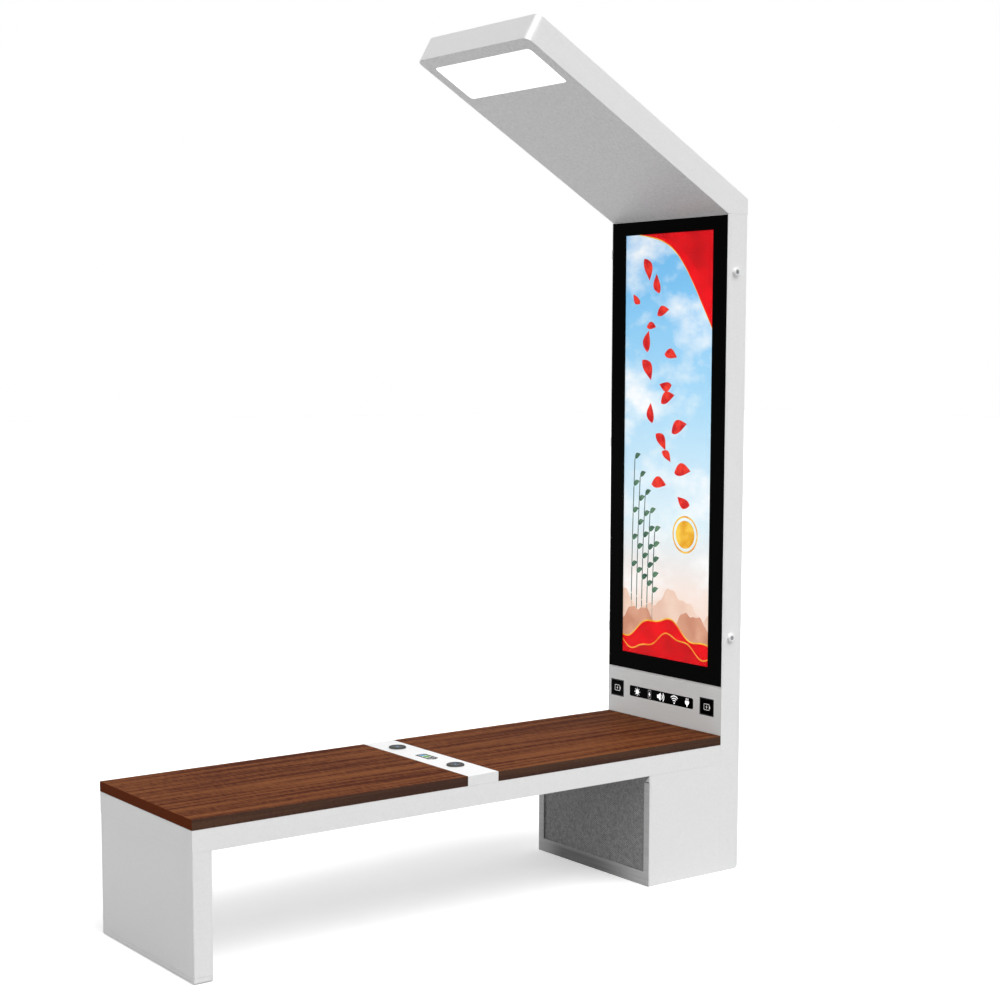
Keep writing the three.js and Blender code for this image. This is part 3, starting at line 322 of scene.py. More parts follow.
def lattice(rows, columns, wrap_rows=False, wrap_columns=False):
    """Quads of a grid of points, row after row, closed on itself where it wraps."""
    row = np.arange(rows if wrap_rows else rows - 1)[:, None]
    column = np.arange(columns if wrap_columns else columns - 1)[None, :]
    after, beside = (row + 1) % rows, (column + 1) % columns
    quads = [row * columns + column, row * columns + beside, after * columns + beside,
             after * columns + column]
    return np.stack(quads, axis=-1).reshape(-1, 4).tolist()


def turned(profile, centre, axis="Z", steps=72):
    """Lathe surface: each (radius, height) pair swept round the axis, as the radius times the cosine
    and the sine of the turn. It starts and ends on the axis, or closes on itself."""
    radius, height = np.array(profile, float).T
    closed = profile[0] == profile[-1]
    if closed:
        radius, height = radius[:-1], height[:-1]
    angle = np.linspace(0, 2 * np.pi, steps, endpoint=False)
    wide, deep = radius[:, None] * np.cos(angle), radius[:, None] * np.sin(angle)
    tall = np.repeat(height[:, None], steps, axis=1)
    spread = {"Z": (wide, deep, tall), "-Y": (wide, -tall, deep)}[axis]
    points = np.stack(spread, axis=-1) + np.array(centre)
    return points.reshape(-1, 3), lattice(len(radius), steps, closed, True)


def piece(name, shapes, material, body="root"):
    """One object from several surfaces, given in millimetres, with doubles merged and faces outwards."""
    points, faces, start = [], [], 0
    for some, quads in shapes:
        points.append(some)
        faces += [[corner + start for corner in quad] for quad in quads]
        start += len(some)
    mesh = bpy.data.meshes.new(name)
    mesh.from_pydata((np.concatenate(points) * mm).tolist(), [], faces)
    work = bmesh.new()
    work.from_mesh(mesh)
    bmesh.ops.remove_doubles(work, verts=work.verts, dist=0.002 * mm)
    bmesh.ops.recalc_face_normals(work, faces=work.faces)
    work.to_mesh(mesh)
    work.free()
    return shown(name, mesh, material, body)


def bend(centre, radius, start, stop, steps=6):
    """Points on an arc, from one angle in degrees to another: the centre plus the radius times the
    cosine and the sine of the angle."""
    angle = np.radians(np.linspace(start, stop, steps + 1))
    return [(centre[0] + radius * math.cos(a), centre[1] + radius * math.sin(a)) for a in angle]


def disc(centre, radius, corners=24):
    """Outline of a round disc, as a regular polygon."""
    return bend(centre, radius, 0, 360 - 360 / corners, corners - 1)


def arc_stroke(centre, radius, start, stop, width, steps=12):
    """Outline of a bar of even width, bent round a centre."""
    outer = bend(centre, radius + width / 2, start, stop, steps)
    return outer + bend(centre, radius - width / 2, stop, start, steps)


def prism(outline, frame_of, low, high):
    """Closed plate: a flat outline carried from one depth to another. frame_of gives the place of
    points (across, up, depth)."""
    flat = np.array(outline, float)
    count = len(flat)
    ends = [frame_of(flat[:, 0], flat[:, 1], np.full(count, depth)) for depth in (low, high)]
    sides = lattice(2, count, False, True)
    return np.concatenate(ends), sides + [list(range(count))[::-1], list(range(count, 2 * count))]


def hoop(outer, inner, frame_of, low, high):
    """Closed plate with one hole, between two outlines with as many points each."""
    rings = [(outer, low), (inner, low), (inner, high), (outer, high)]
    points = [frame_of(*np.array(ring, float).T, np.full(len(ring), depth)) for ring, depth in rings]
    return np.concatenate(points), lattice(4, len(outer), True, True)


def lying(centre):
    """Places on a level face: across is +X and up is +Y, from the centre."""
    return lambda a, u, d: np.stack([centre[0] + a, centre[1] + u, centre[2] + d], axis=-1)


def facing_seat(centre):
    """Places on an upright face that looks at the seat (-X): across is -Y and up is +Z."""
    return lambda a, u, d: np.stack([centre[0] - d, centre[1] - a, centre[2] + u], axis=-1)


# Soft-touch moulding: polyurethane-coated ABS. Dark warm grey, almost matt, with a grain of 0.8 mm
# drawn at 2 mm so that it shows.
soft_touch, tree, sockets, place = finish("soft_touch_moulding", "#3A3A38", 0.55,
                                          Specular_IOR_Level=0.15)
grit = add(tree, "ShaderNodeTexNoise", {"Vector": place, "Scale": per(2), "Detail": 3.0})
add(tree, "ShaderNodeMix", {factor: grit, first: "#31312F", second: "#4A4A47"}, sockets["Base Color"])
add(tree, "ShaderNodeBump", {"Height": grit, "Distance": 0.08 * mm}, sockets["Normal"])


def printed(name, colour, glow=0.0, roughness=0.5):
    """Screen-printed or lit mark: flat ink with the slight mottle of a screen mesh."""
    made, tree, sockets, place = finish(name, colour, roughness)
    mottle = add(tree, "ShaderNodeTexNoise", {"Vector": place, "Scale": per(1.5), "Detail": 2.0})
    value = add(tree, "ShaderNodeMapRange", {"Value": mottle, "To Min": 0.92, "To Max": 1.08})
    tint = add(tree, "ShaderNodeHueSaturation", {"Color": colour, "Value": value}, sockets["Base Color"])
    if glow:
        tree.links.new(live(tint), sockets["Emission Color"])
        sockets["Emission Strength"].default_value = glow
    return made


pilot_blue = printed("pilot_lamp_blue", "#3586B8", 0.5)
arc_blue = printed("printed_arc_blue", "#56698A")
# The pad's section: a wide head on a stem through the cover, with a rounded lip, then a groove and a
# dish, given as (distance in from the rim, height). Each sign starts just under the face.
cover_sheet, stem, chamfer, lip = 3.0, 20.0, 0.6, 2.5
groove = [(5.0, 0), (5.3, -0.35), (5.9, -0.35), (6.2, 0)]
dish_slope = [(7.2, 0), (8.4, -0.5), (9.6, -0.95)]
dish_depth = 1.0
pilot_ink = (-0.1, 0.12)
arc_ink = (-0.1, 0.1)
for end_name in ("front", "rear"):
    low, high, middle = box_mm(f"charging_pad_{end_name}")
    radius = middle[0] - low[0]
    foot = low[2] - high[2]
    seat = foot + cover_sheet + gap
    profile = [(0, foot), (stem, foot), (stem, seat), (radius - chamfer, seat), (radius, seat + chamfer)]
    profile += [(radius - lip + a, b - lip) for a, b in bend((0, 0), lip, 0, 90)]
    profile += [(radius - inset, height) for inset, height in groove + dish_slope] + [(0, -dish_depth)]
    head = [turned(profile, (middle[0], middle[1], high[2]))]
    pad = piece(f"charging_pad_{end_name}_cover", head, soft_touch)
    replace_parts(pad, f"charging_pad_{end_name}")
    dish = lying((middle[0], middle[1], high[2] - dish_depth))
    pilot = [prism(disc((0, 0), 3.0), dish, *pilot_ink)]
    piece(f"pad_{end_name}_pilot", pilot, pilot_blue)
    arcs = [prism(arc_stroke((0, 0), reach, start, start + 110, 1.6, 18), dish, *arc_ink)
            for reach in (7.2, 11.7) for start in (35, 215)]
    piece(f"pad_{end_name}_arcs", arcs, arc_blue)

# Console mark
# A small generic charging sign between the pads: a heavy battery outline that holds a blue, a green
# and a black bar, screen-printed on the white cover and read from the seat.


def rounded(wide, tall, radius, middle=(0, 0), steps=5):
    """Outline of a rounded rectangle about its middle: four quarter arcs, counter-clockwise."""
    x, y = wide / 2 - radius, tall / 2 - radius
    ways = [(x, y, 0), (-x, y, 90), (-x, -y, 180), (x, -y, 270)]
    return [spot for a, b, start in ways
            for spot in bend((middle[0] + a, middle[1] + b), radius, start, start + 90, steps)]


low, high, middle = box_mm("charging_console")
mark_middle = lying((middle[0], 12.0, high[2]))
mark_ink = (-0.05, 0.12)


def console_top(along, across_cover, depth):
    """Places on the cover from the middle of the mark: along runs to the front side, across to +X."""
    return mark_middle(across_cover, -along, depth)


def bar(long, middle):
    """One bar of the battery sign, by its length and its middle along the sign."""
    return prism(rounded(long, 18, 1.5, (middle, 0)), console_top, *mark_ink)


ink_black = printed("printed_black", "#151515", roughness=0.8)
ink_green = printed("printed_green", "#4F9A28", roughness=0.8)
ink_blue = printed("printed_blue", "#1C88B2", roughness=0.8)
outline = [hoop(rounded(78, 38, 7), rounded(64, 22, 2), console_top, *mark_ink),
           prism(rounded(6, 17, 1.8, (42.2, 0)), console_top, *mark_ink), bar(15, 21.5)]
piece("console_mark_outline", outline, ink_black)
piece("console_mark_blue_bar", [bar(15, -22.5)], ink_blue)
piece("console_mark_green_bar", [bar(21, -0.5)], ink_green)

# Coil modules
# Flat spirals of enamelled copper potted in a cup, clipped under each pad. Tinted rings 20 mm apart
# stand for their turns.
coil, tree, sockets, place = finish("potted_copper_coil", "#8A5A34", 0.45, Metallic=0.6)
rings = add(tree, "ShaderNodeTexWave", {"Vector": place, "Scale": apart(20)}, wave_type="RINGS",
            rings_direction="Z")
add(tree, "ShaderNodeMix", {factor: rings.outputs["Fac"], first: "#5E3A22", second: "#B07442"},
    sockets["Base Color"])


def dress(material, *nodes):
    """Give solids that stay as they are their finish."""
    for node in nodes:
        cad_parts[node].material_slots[0].material = material


dress(coil, "coil_module_front", "coil_module_rear")

# Pedestal
# A folded white shell that is open towards the leg, with returned strips at its sides and a sill. A
# dark perforated grille hangs inside it in front of the speaker and the battery.
eased("pedestal_shell", "pedestal_housing", powder_coat, 0.8, beam_seams)

# Perforated sheet: steel with 3 mm holes at 5 mm, painted dark grey. From a step away the holes run
# together into a speckle, which is drawn here with a grain of 9 mm.
perforated, tree, sockets, place = finish("painted_perforated_sheet", "#6E6E6E", 0.7)
turn = add(tree, "ShaderNodeMapping", {"Vector": place, "Rotation": (math.radians(45), 0, 0)})
flat = add(tree, "ShaderNodeVectorMath", {0: turn, 1: (0, 1, 1)}, operation="MULTIPLY")
holes = add(tree, "ShaderNodeTexVoronoi", {"Vector": flat, "Scale": per(5), "Randomness": 0.0})
open_part = add(tree, "ShaderNodeMapRange", {"Value": holes, "From Min": 0.30, "From Max": 0.36})
speckle = add(tree, "ShaderNodeTexNoise", {"Vector": place, "Scale": per(9), "Detail": 6.0,
                                           "Roughness": 0.75})
speckle = add(tree, "ShaderNodeMapRange", {"Value": speckle, "From Min": 0.3, "From Max": 0.7})
tint = add(tree, "ShaderNodeMix", {factor: speckle, first: "#808080", second: "#D2D2D2"})
add(tree, "ShaderNodeMix", {factor: open_part, first: "#606060", second: tint}, sockets["Base Color"])
add(tree, "ShaderNodeBump", {"Height": open_part, "Distance": 0.6 * mm}, sockets["Normal"])
eased("grille_panel", "grille_sheet", perforated, 0)

# Opening trim
# A plain steel edging, 0.4 mm thick, glued on the strips and the sill round the opening, and a small
# white gusset welded in the notch above the front strip.

# Plain steel: brushed along the sill, in strokes drawn 5 mm wide. Painted shade from the seat above
# darkens the middle of the sill, and it fades out towards both ends of the sill and up its strips, over
# these metres.
edging_steel, tree, sockets, place = finish("plain_steel_with_painted_shade", "#8A8A8A", 0.6, Metallic=0.2)
drawn = add(tree, "ShaderNodeMapping", {"Vector": place, "Scale": (1.0, 0.03, 1.0)})
strokes = add(tree, "ShaderNodeTexNoise", {"Vector": drawn, "Scale": per(5), "Detail": 4.0})
around_opening = add(tree, "ShaderNodeSeparateXYZ", {0: place}).outputs
front_end, rear_end, on_sill = [
    add(tree, "ShaderNodeMapRange", {"Value": around_opening[axis], "From Min": bare, "From Max": full},
        interpolation_type=fade)
    for axis, bare, full, fade in [("Y", -0.27, 0.0, "SMOOTHSTEP"), ("Y", 0.29, 0.14, "SMOOTHSTEP"),
                                   ("Z", 0.06, 0.03, "LINEAR")]]
# Painted shade: where the sill lies deepest under the seat it takes the darker tone
sill_shade = add(tree, "ShaderNodeMath", {0: front_end, 1: rear_end}, operation="MINIMUM")
sill_shade = add(tree, "ShaderNodeMath", {0: sill_shade, 1: on_sill}, operation="MULTIPLY")
bright = add(tree, "ShaderNodeMix", {factor: strokes, first: "#AEAEAE", second: "#D2D2D2"})
shade_tone = add(tree, "ShaderNodeMix", {factor: strokes, first: "#606060", second: "#888888"})
add(tree, "ShaderNodeMix", {factor: sill_shade, first: bright, second: shade_tone}, sockets["Base Color"])

low, high, middle = box_mm("pedestal_shell")
strip_width, sill_height, notch = 25.0, 44.0, 25.0
edging_thick = 0.4
gusset_back, gusset_width, gusset_rise = 2.6, 20, 4
strip_top = high[2] - notch
half = middle[1] - low[1]
edging = facing_seat((low[0], 0, 0))
around = [(-half, gap), (half, gap), (half, strip_top), (half - strip_width, strip_top),
          (half - strip_width, sill_height), (strip_width - half, sill_height),
          (strip_width - half, strip_top), (-half, strip_top)]
piece("opening_edging", [prism(around, edging, 0.0, edging_thick)], edging_steel)
ear = [(half - gusset_width, strip_top + gusset_rise), (half - 1, strip_top + gusset_rise),
       (half - 1, high[2] - gap)]
piece("opening_gusset", [prism(ear, edging, -gusset_back, -edging_thick)], powder_coat)

# Zinc-plated steel: a clear passivated plate, cool grey with the cloudy spangle of the bath (20 mm).
zinc, tree, sockets, place = finish("zinc_plated_steel", "#A4AAAE", 0.42, Metallic=1.0)
spangle = add(tree, "ShaderNodeTexVoronoi", {"Vector": place, "Scale": per(20)})
add(tree, "ShaderNodeMapRange", {"Value": spangle, "To Min": 0.34, "To Max": 0.52}, sockets["Roughness"])
dress(zinc, "pedestal_base", "battery_tray", "speaker_bracket")

# Battery, controller and speaker
# What the pedestal and the foot of the column hold: a moulded battery case in its tray, a finned
# controller on the back wall, and a speaker on a folded bracket.

# Moulded ABS: near black, with the fine spark texture of the tool (0.5 mm, drawn at 1.5 mm).
moulded, tree, sockets, place = finish("moulded_abs_black", "#191919", 0.45)
grit = add(tree, "ShaderNodeTexNoise", {"Vector": place, "Scale": per(1.5), "Detail": 3.0})
add(tree, "ShaderNodeMapRange", {"Value": grit, "To Min": 0.38, "To Max": 0.55}, sockets["Roughness"])
add(tree, "ShaderNodeBump", {"Height": grit, "Distance": 0.03 * mm}, sockets["Normal"])
dress(moulded, "battery", "speaker", "junction_box")

# Extruded aluminium: satin anodised, with faint draw lines along the profile every 2 mm.
anodised, tree, sockets, place = finish("anodised_aluminium", "#C4C7CA", 0.36, Metallic=1.0)
drawn = add(tree, "ShaderNodeMapping", {"Vector": place, "Scale": (0.05, 1.0, 0.05)})
lines = add(tree, "ShaderNodeTexNoise", {"Vector": drawn, "Scale": per(2), "Detail": 3.0})
add(tree, "ShaderNodeMapRange", {"Value": lines, "To Min": 0.28, "To Max": 0.44}, sockets["Roughness"])
dress(anodised, "charge_controller", "lamp_housing")

# Column
# A channel folded from 3 mm steel, open towards the seat and closed below by a turned-in foot. It
# stands behind the pedestal, and carries the picture case and the canopy.
eased("column_shell", "column_channel", powder_coat, 0.8, beam_seams)

# Lamp driver: a moulded grey box on the back wall, with a light spark texture (drawn at 2 mm).
grey_moulding, tree, sockets, place = finish("moulded_grey", "#8B8E90", 0.6)
grit = add(tree, "ShaderNodeTexNoise", {"Vector": place, "Scale": per(2), "Detail": 3.0})
add(tree, "ShaderNodeBump", {"Height": grit, "Distance": 0.05 * mm}, sockets["Normal"])
dress(grey_moulding, "lamp_driver")

# Harness: cable in a braided polyester sleeve; the braid crosses at 45 degrees every 3 mm.
braid, tree, sockets, place = finish("braided_sleeve", "#1C1C1C", 0.7)
turn = add(tree, "ShaderNodeMapping", {"Vector": place, "Rotation": (0, math.radians(45), 0)})
weave = add(tree, "ShaderNodeTexChecker", {"Vector": turn, "Scale": per(3), "Color1": "#151515",
                                           "Color2": "#2C2C2C"}, sockets["Base Color"])
add(tree, "ShaderNodeBump", {"Height": weave.outputs["Fac"], "Distance": 0.3 * mm}, sockets["Normal"])
dress(braid, "main_harness")

# Control fascia
# A returned plate of brushed stainless steel between the seat and the picture case. The brushing
# runs across the bench, with strokes about 80 mm long and 0.6 mm wide, drawn at 2 mm.
brushed, tree, sockets, place = finish("brushed_stainless_steel", "#F4F8F8", 0.7, Metallic=0.06,
                                       Specular_IOR_Level=0.75)
drawn = add(tree, "ShaderNodeMapping", {"Vector": place, "Scale": (1.0, 0.025, 1.0)})
strokes = add(tree, "ShaderNodeTexNoise", {"Vector": drawn, "Scale": per(2), "Detail": 5.0,
                                           "Roughness": 0.7})
add(tree, "ShaderNodeMix", {factor: strokes, first: "#ECF0F0", second: "#FBFFFF"},
    sockets["Base Color"])
add(tree, "ShaderNodeMapRange", {"Value": strokes, "To Min": 0.64, "To Max": 0.78}, sockets["Roughness"])
add(tree, "ShaderNodeBump", {"Height": strokes, "Distance": 0.02 * mm}, sockets["Normal"])
eased("control_fascia", "control_fascia_plate", brushed, 0.4)

# Touch strip
# Black back-printed glass flush in the fascia, with five lit pictograms that stand for light, phone
# charging, sound, signal and mains power. Its board is pressed against it from behind.

# Back-printed glass: float glass with black enamel behind. Gloss comes from its smooth face.
black_glass, tree, sockets, place = finish("black_enamelled_glass", "#020202", 0.09,
                                           Specular_IOR_Level=0.01)
smear = add(tree, "ShaderNodeTexNoise", {"Vector": place, "Scale": per(60), "Detail": 3.0})
add(tree, "ShaderNodeMapRange", {"Value": smear, "To Min": 0.07, "To Max": 0.13}, sockets["Roughness"])
eased("touch_strip", "touch_strip_glass", black_glass, 0.3)


def stroke(points, width):
    """Outline of a straight or bent bar: a line of points moved half the width to either side, square
    to the way it runs."""
    line = np.array(points, float)
    way = np.gradient(line, axis=0)
    way /= np.linalg.norm(way, axis=1, keepdims=True)
    side = np.stack([-way[:, 1], way[:, 0]], axis=1) * width / 2
    return np.concatenate([line - side, (line + side)[::-1]]).tolist()


rays = [stroke([(reach * math.cos(a), reach * math.sin(a)) for reach in (10.4, 14.6)], 1.8)
        for a in np.radians(np.arange(0, 360, 45))]
horn = [(-19, -5.5), (-12, -5.5), (-2, -14), (-2, 14), (-12, 5.5), (-19, 5.5)]
sound_sign = [horn, *[arc_stroke((-4, 0), reach, -44, 44, 3.0) for reach in (11, 19)]]
signal_sign = [disc((0, -11), 2.8, 18)]
signal_sign += [arc_stroke((0, -11), reach, 46, 134, 2.8) for reach in (9, 16.5, 24)]
prongs = [stroke([(x, 14.5), (x, 7)], 2.8) for x in (-4.4, 4.4)]
plug_body = [(-9.5, 5.6), (-9.5, 1), *bend((0, 1), 9.5, 180, 360, 14)[1:-1], (9.5, 1), (9.5, 5.6)]
plug_sign = [*prongs, plug_body, stroke([(0, -8), (0, -14.5)], 3.0)]
bolt = [(1.8, 9.6), (-5.1, -1.2), (-0.6, -1.2), (-2.1, -9.6), (5.1, 1.5), (0.6, 1.5)]
phone_frame = (rounded(16, 31, 3), rounded(11, 25.5, 1.6))
sign_ink = (-0.1, 0.15)

lit_white = printed("lit_white_pictogram", "#FFFFFF", 0.9)
dim_white = printed("dim_white_pictogram", "#9A9A9A", 0.15)
low, high, middle = box_mm("touch_strip")
for sign, y, outlines in [("sun", 133, [disc((0, 0), 8.2), *rays]), ("sound", 10, sound_sign),
                          ("signal", -57, signal_sign), ("plug", -121, plug_sign)]:
    spot = facing_seat((low[0], y, middle[2]))
    piece(f"pictogram_{sign}", [prism(o, spot, *sign_ink) for o in outlines], lit_white)
spot = facing_seat((low[0], 69, middle[2]))
piece("pictogram_phone", [hoop(*phone_frame, spot, *sign_ink)], dim_white)
piece("pictogram_phone_bolt", [prism(bolt, spot, *sign_ink)], lit_white)

# Circuit boards: green solder mask over copper tracks, drawn in rows 5 mm apart.
board, tree, sockets, place = finish("solder_mask_green", "#1F5A38", 0.4)
add(tree, "ShaderNodeTexBrick", {"Vector": place, "Scale": per(20), "Color1": "#1F5A38",
                                 "Color2": "#1A4F31", "Mortar": "#2F7A4C", "Mortar Size": 0.03},
    sockets["Base Color"])
dress(board, "touch_board")

# Socket modules
# Two black mouldings behind the fascia, each with a pair of USB sockets under a sprung dust flap.
# The flaps carry a small white printed charging sign, a battery with a bolt in it, which glows a little
# as painted light.
mouth_depth, socket_pitch, socket_drop, shell_length = 6.0, 27.0, 3.0, 13.0
for end_name in ("front", "rear"):
    eased(f"usb_module_{end_name}", f"usb_module_{end_name}_body", moulded, 0.3)
    low, high, middle = box_mm(f"usb_module_{end_name}")
    shells, tongues, contacts = [], [], []
    for offset in (-socket_pitch / 2, socket_pitch / 2):
        mouth = facing_seat((low[0] + mouth_depth, middle[1] + offset, middle[2] - socket_drop))
        shells.append(hoop(rounded(12.8, 5.4, 0.5), rounded(12.1, 4.7, 0.3), mouth, -shell_length, -0.1))
        tongues.append(prism(rounded(11.0, 1.8, 0.3, (0, 1.1)), mouth, -shell_length, -1.4))
        contacts += [prism(rounded(1.1, 0.2, 0.09, (place_y, 0.12)), mouth, -12.0, -2.0)
                     for place_y in (-3.75, -1.25, 1.25, 3.75)]
    piece(f"usb_{end_name}_shells", shells, zinc)
    piece(f"usb_{end_name}_tongues", tongues, grey_moulding)
    piece(f"usb_{end_name}_contacts", contacts, coil)

# Polished flap moulding: black ABS from a mirror-finished tool.
polished, tree, sockets, place = finish("polished_abs_black", "#020202", 0.16, Specular_IOR_Level=0.01)
haze = add(tree, "ShaderNodeTexNoise", {"Vector": place, "Scale": per(30), "Detail": 3.0})
add(tree, "ShaderNodeMapRange", {"Value": haze, "To Min": 0.12, "To Max": 0.2}, sockets["Roughness"])
# The white print is given a glow of 0.35 though it is no lamp: painted light
flap_white_glowing = printed("printed_flap_white_painted_glow", "#E4E4E4", 0.35)
for end_name in ("front", "rear"):
    eased(f"usb_flap_{end_name}", f"usb_flap_{end_name}_cover", polished, 0.3,
          body=f"flap_{end_name}")
    low, high, middle = box_mm(f"usb_flap_{end_name}")
    spot = facing_seat((low[0], middle[1], middle[2]))
    sign = [hoop(rounded(27, 21, 3), rounded(23.4, 17.4, 1.6), spot, *sign_ink),
            prism(rounded(3, 9, 1, (15.4, 0)), spot, *sign_ink),
            prism([(u * 0.85, v * 0.75) for u, v in bolt], spot, *sign_ink)]
    piece(f"flap_{end_name}_sign", sign, flap_white_glowing, f"flap_{end_name}")

# Picture case
# A shallow door in front of the column: a folded white frame, a toughened pane with a black printed
# border, the back-lit film, and a light box whose guide is lit from both sides.
eased("door_frame", "door_frame_rim", powder_coat, 0.5, body="door")

pane_low, pane_high, pane_middle = box_mm("cover_glass")
film_low, film_high, film_middle = box_mm("picture_sheet")
overlap = 10.0 - gap
window = (film_high[1] - film_low[1] - 2 * overlap, film_high[2] - film_low[2] - 2 * overlap)
pane_thick, pane_wide, pane_tall = pane_high - pane_low
pane_place = facing_seat((pane_low[0], 0, pane_middle[2]))
opening = (0, film_middle[2] - pane_middle[2])
border = [hoop(rounded(pane_wide, pane_tall, 1.5), rounded(*window, 1.0, opening), pane_place,
               -pane_thick, 0)]
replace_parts(piece("cover_glass_border", border, black_glass, "door"), "cover_glass")

# Clear pane: toughened low-iron glass with an anti-glare coating that mirrors hardly anything, so its
# index is drawn as 1.06. It stands 0.1 mm clear of the border all round.
clear_pane = finish("clear_toughened_glass", "#FFFFFF", 0.03, Transmission_Weight=1.0,
                    Specular_IOR_Level=0.02, IOR=1.06)[0]
piece("cover_glass_window", [prism(rounded(window[0] - 0.2, window[1] - 0.2, 0.9, opening), pane_place,
                                   -pane_thick, 0)], clear_pane, "door")

# Printed film: translucent polyester, lit from behind. Its sky goes from blue through a pale horizon
# to a warm haze, with soft flat clouds about 300 mm across. Most of its colour comes from the lamps
# behind it, so it mirrors little of the daylight in front.
dye_share = 0.3
back_light = 0.73


def film_finish(name, colour):
    """Finish of a back-lit print."""
    return finish(name, colour, 0.5, Emission_Strength=back_light, Specular_IOR_Level=0.05)


def shine(tree, sockets, picture):
    """A print's colour on its shader: as the light that comes through, and a share of it as dye."""
    tree.links.new(live(picture), sockets["Emission Color"])
    add(tree, "ShaderNodeMix", {factor: dye_share, first: "#000000", second: picture},
        sockets["Base Color"])


film, tree, sockets, place = film_finish("back_lit_printed_film", "#9FD0EE")
height = add(tree, "ShaderNodeSeparateXYZ", {0: place}).outputs["Z"]
level_share = add(tree, "ShaderNodeMapRange", {"Value": height, "From Min": film_low[2] * mm,
                                               "From Max": film_high[2] * mm})
sky = add(tree, "ShaderNodeValToRGB", {"Fac": level_share})
sky.color_ramp.elements[0].color = linear("#F2CDB8")
sky.color_ramp.elements[1].color = linear("#6DB7EA")
for at, colour in [(0.16, "#F6E4DA"), (0.32, "#DCEDF4"), (0.6, "#A9D8F3"), (0.85, "#7FC3EF")]:
    sky.color_ramp.elements.new(at).color = linear(colour)
squeezed = add(tree, "ShaderNodeMapping", {"Vector": place, "Scale": (1.0, 1.0, 1.7)})
clouds = add(tree, "ShaderNodeTexNoise", {"Vector": squeezed, "Scale": per(300), "Detail": 7.0,
                                          "Roughness": 0.55})
cover = add(tree, "ShaderNodeMapRange", {"Value": clouds, "From Min": 0.48, "From Max": 0.68,
                                         "To Max": 0.9})
shine(tree, sockets, add(tree, "ShaderNodeMix", {factor: cover, first: sky, second: "#FBFBFB"}))
dress(film, "picture_sheet")

# Picture motifs
# The print itself, in thin layers between the film and the pane: far hills, a red ribbon hanging from
# one upper corner and another rolling along the foot, gold trims, a gold sun, leaves and bamboo.


def ink(name, dark, light, grain):
    """Back-lit ink whose tone drifts between two colours over a grain in millimetres."""
    made, tree, sockets, place = film_finish(f"ink_{name}", light)
    drift = add(tree, "ShaderNodeTexNoise", {"Vector": place, "Scale": per(grain), "Detail": 2.0})
    tone = add(tree, "ShaderNodeMapRange", {"Value": drift, "From Min": 0.35, "From Max": 0.65})
    shine(tree, sockets, add(tree, "ShaderNodeMix", {factor: tone, first: dark, second: light}))
    return made


def motif(name, shapes, colour):
    """Piece of the print, which moves with the door."""
    piece(f"print_{name}", shapes, colour, "door")


layer_pitch = 0.12
ink_thick = 0.03
half_wide = window[0] / 2 + 6
print_low = film_low[2] + 1
print_high = film_high[2] - 1


def layer(number):
    """Places on one print layer: across from the middle, up from the floor."""
    return facing_seat((film_low[0] - layer_pitch * number, 0, 0))


def band(lower, upper, number, count=60):
    """Strip between two height curves over the width of the picture, kept inside it."""
    a = np.linspace(-half_wide, half_wide, count)
    bottom = np.clip(lower(a), print_low, print_high)
    top = np.clip(upper(a), print_low, print_high)
    rings = [(bottom, 0.0), (top, 0.0), (top, ink_thick), (bottom, ink_thick)]
    points = [layer(number)(a, edge, np.full(count, depth)) for edge, depth in rings]
    caps = [[0, 3 * count, 2 * count, count], [r * count + count - 1 for r in range(4)]]
    return np.concatenate(points), lattice(4, count, True, False) + caps


def wave(base, *swings):
    """Height curve: a base height plus sine swings of (amplitude, wavelength, shift)."""
    def edge(a):
        return base + sum((h * np.sin(2 * np.pi * (a + s) / length) for h, length, s in swings), 0 * a)
    return edge


floor_line = wave(print_low)
far_hills = wave(860, (34, 300, 40), (12, 110, 10), (4, 41, 5))
near_hills = wave(800, (30, 260, -60), (10, 90, 25), (3, 33, 0))
motif("far_hills", [band(floor_line, far_hills, 1)], ink("far_hills", "#E3B9A4", "#F0D2C0", 120))
motif("near_hills", [band(floor_line, near_hills, 2)], ink("near_hills", "#C98A70", "#E0A98E", 90))

ribbon_red = ink("ribbon_red", "#DC0512", "#F00A16", 70)
ribbon_deep = ink("ribbon_deep", "#C20410", "#E00814", 90)
gold = ink("gold", "#E39A1E", "#F8CF4E", 40)
foot_top = wave(762, (36, 420, 120), (10, 150, 0))
foot_fold = wave(716, (30, 360, 60), (8, 120, 30))
motif("foot_ribbon", [band(floor_line, foot_top, 3)], ribbon_red)
motif("foot_fold", [band(floor_line, foot_fold, 4)], ribbon_deep)
motif("foot_trim", [band(foot_top, lambda a: foot_top(a) + 5, 3),
                    band(foot_fold, lambda a: foot_fold(a) + 3.5, 4)], gold)


def hanging(depth, sweep, ripple):
    """Lower edge of cloth that hangs from the upper corner on the front side: it falls steeply at that
    side and runs out along the top edge."""
    def edge(a):
        share = (a + half_wide) / (2 * half_wide)
        return print_high - depth * share ** sweep - ripple * np.sin(9 * share) * share
    return edge


ceiling = wave(print_high)
corner_edge = hanging(330, 2.6, 16)
corner_fold = hanging(190, 2.2, 22)
motif("corner_ribbon", [band(corner_edge, ceiling, 3)], ribbon_red)
motif("corner_fold", [band(corner_fold, ceiling, 4)], ribbon_deep)
motif("corner_trim", [band(lambda a: corner_edge(a) - 4, corner_edge, 3)], gold)

sun_disc, halo_outer, halo_inner = [disc((95, 1090), radius, 60) for radius in (46, 62, 56)]
motif("sun", [prism(sun_disc, layer(1), 0, ink_thick),
              hoop(halo_outer, halo_inner, layer(1), 0, ink_thick)], gold)


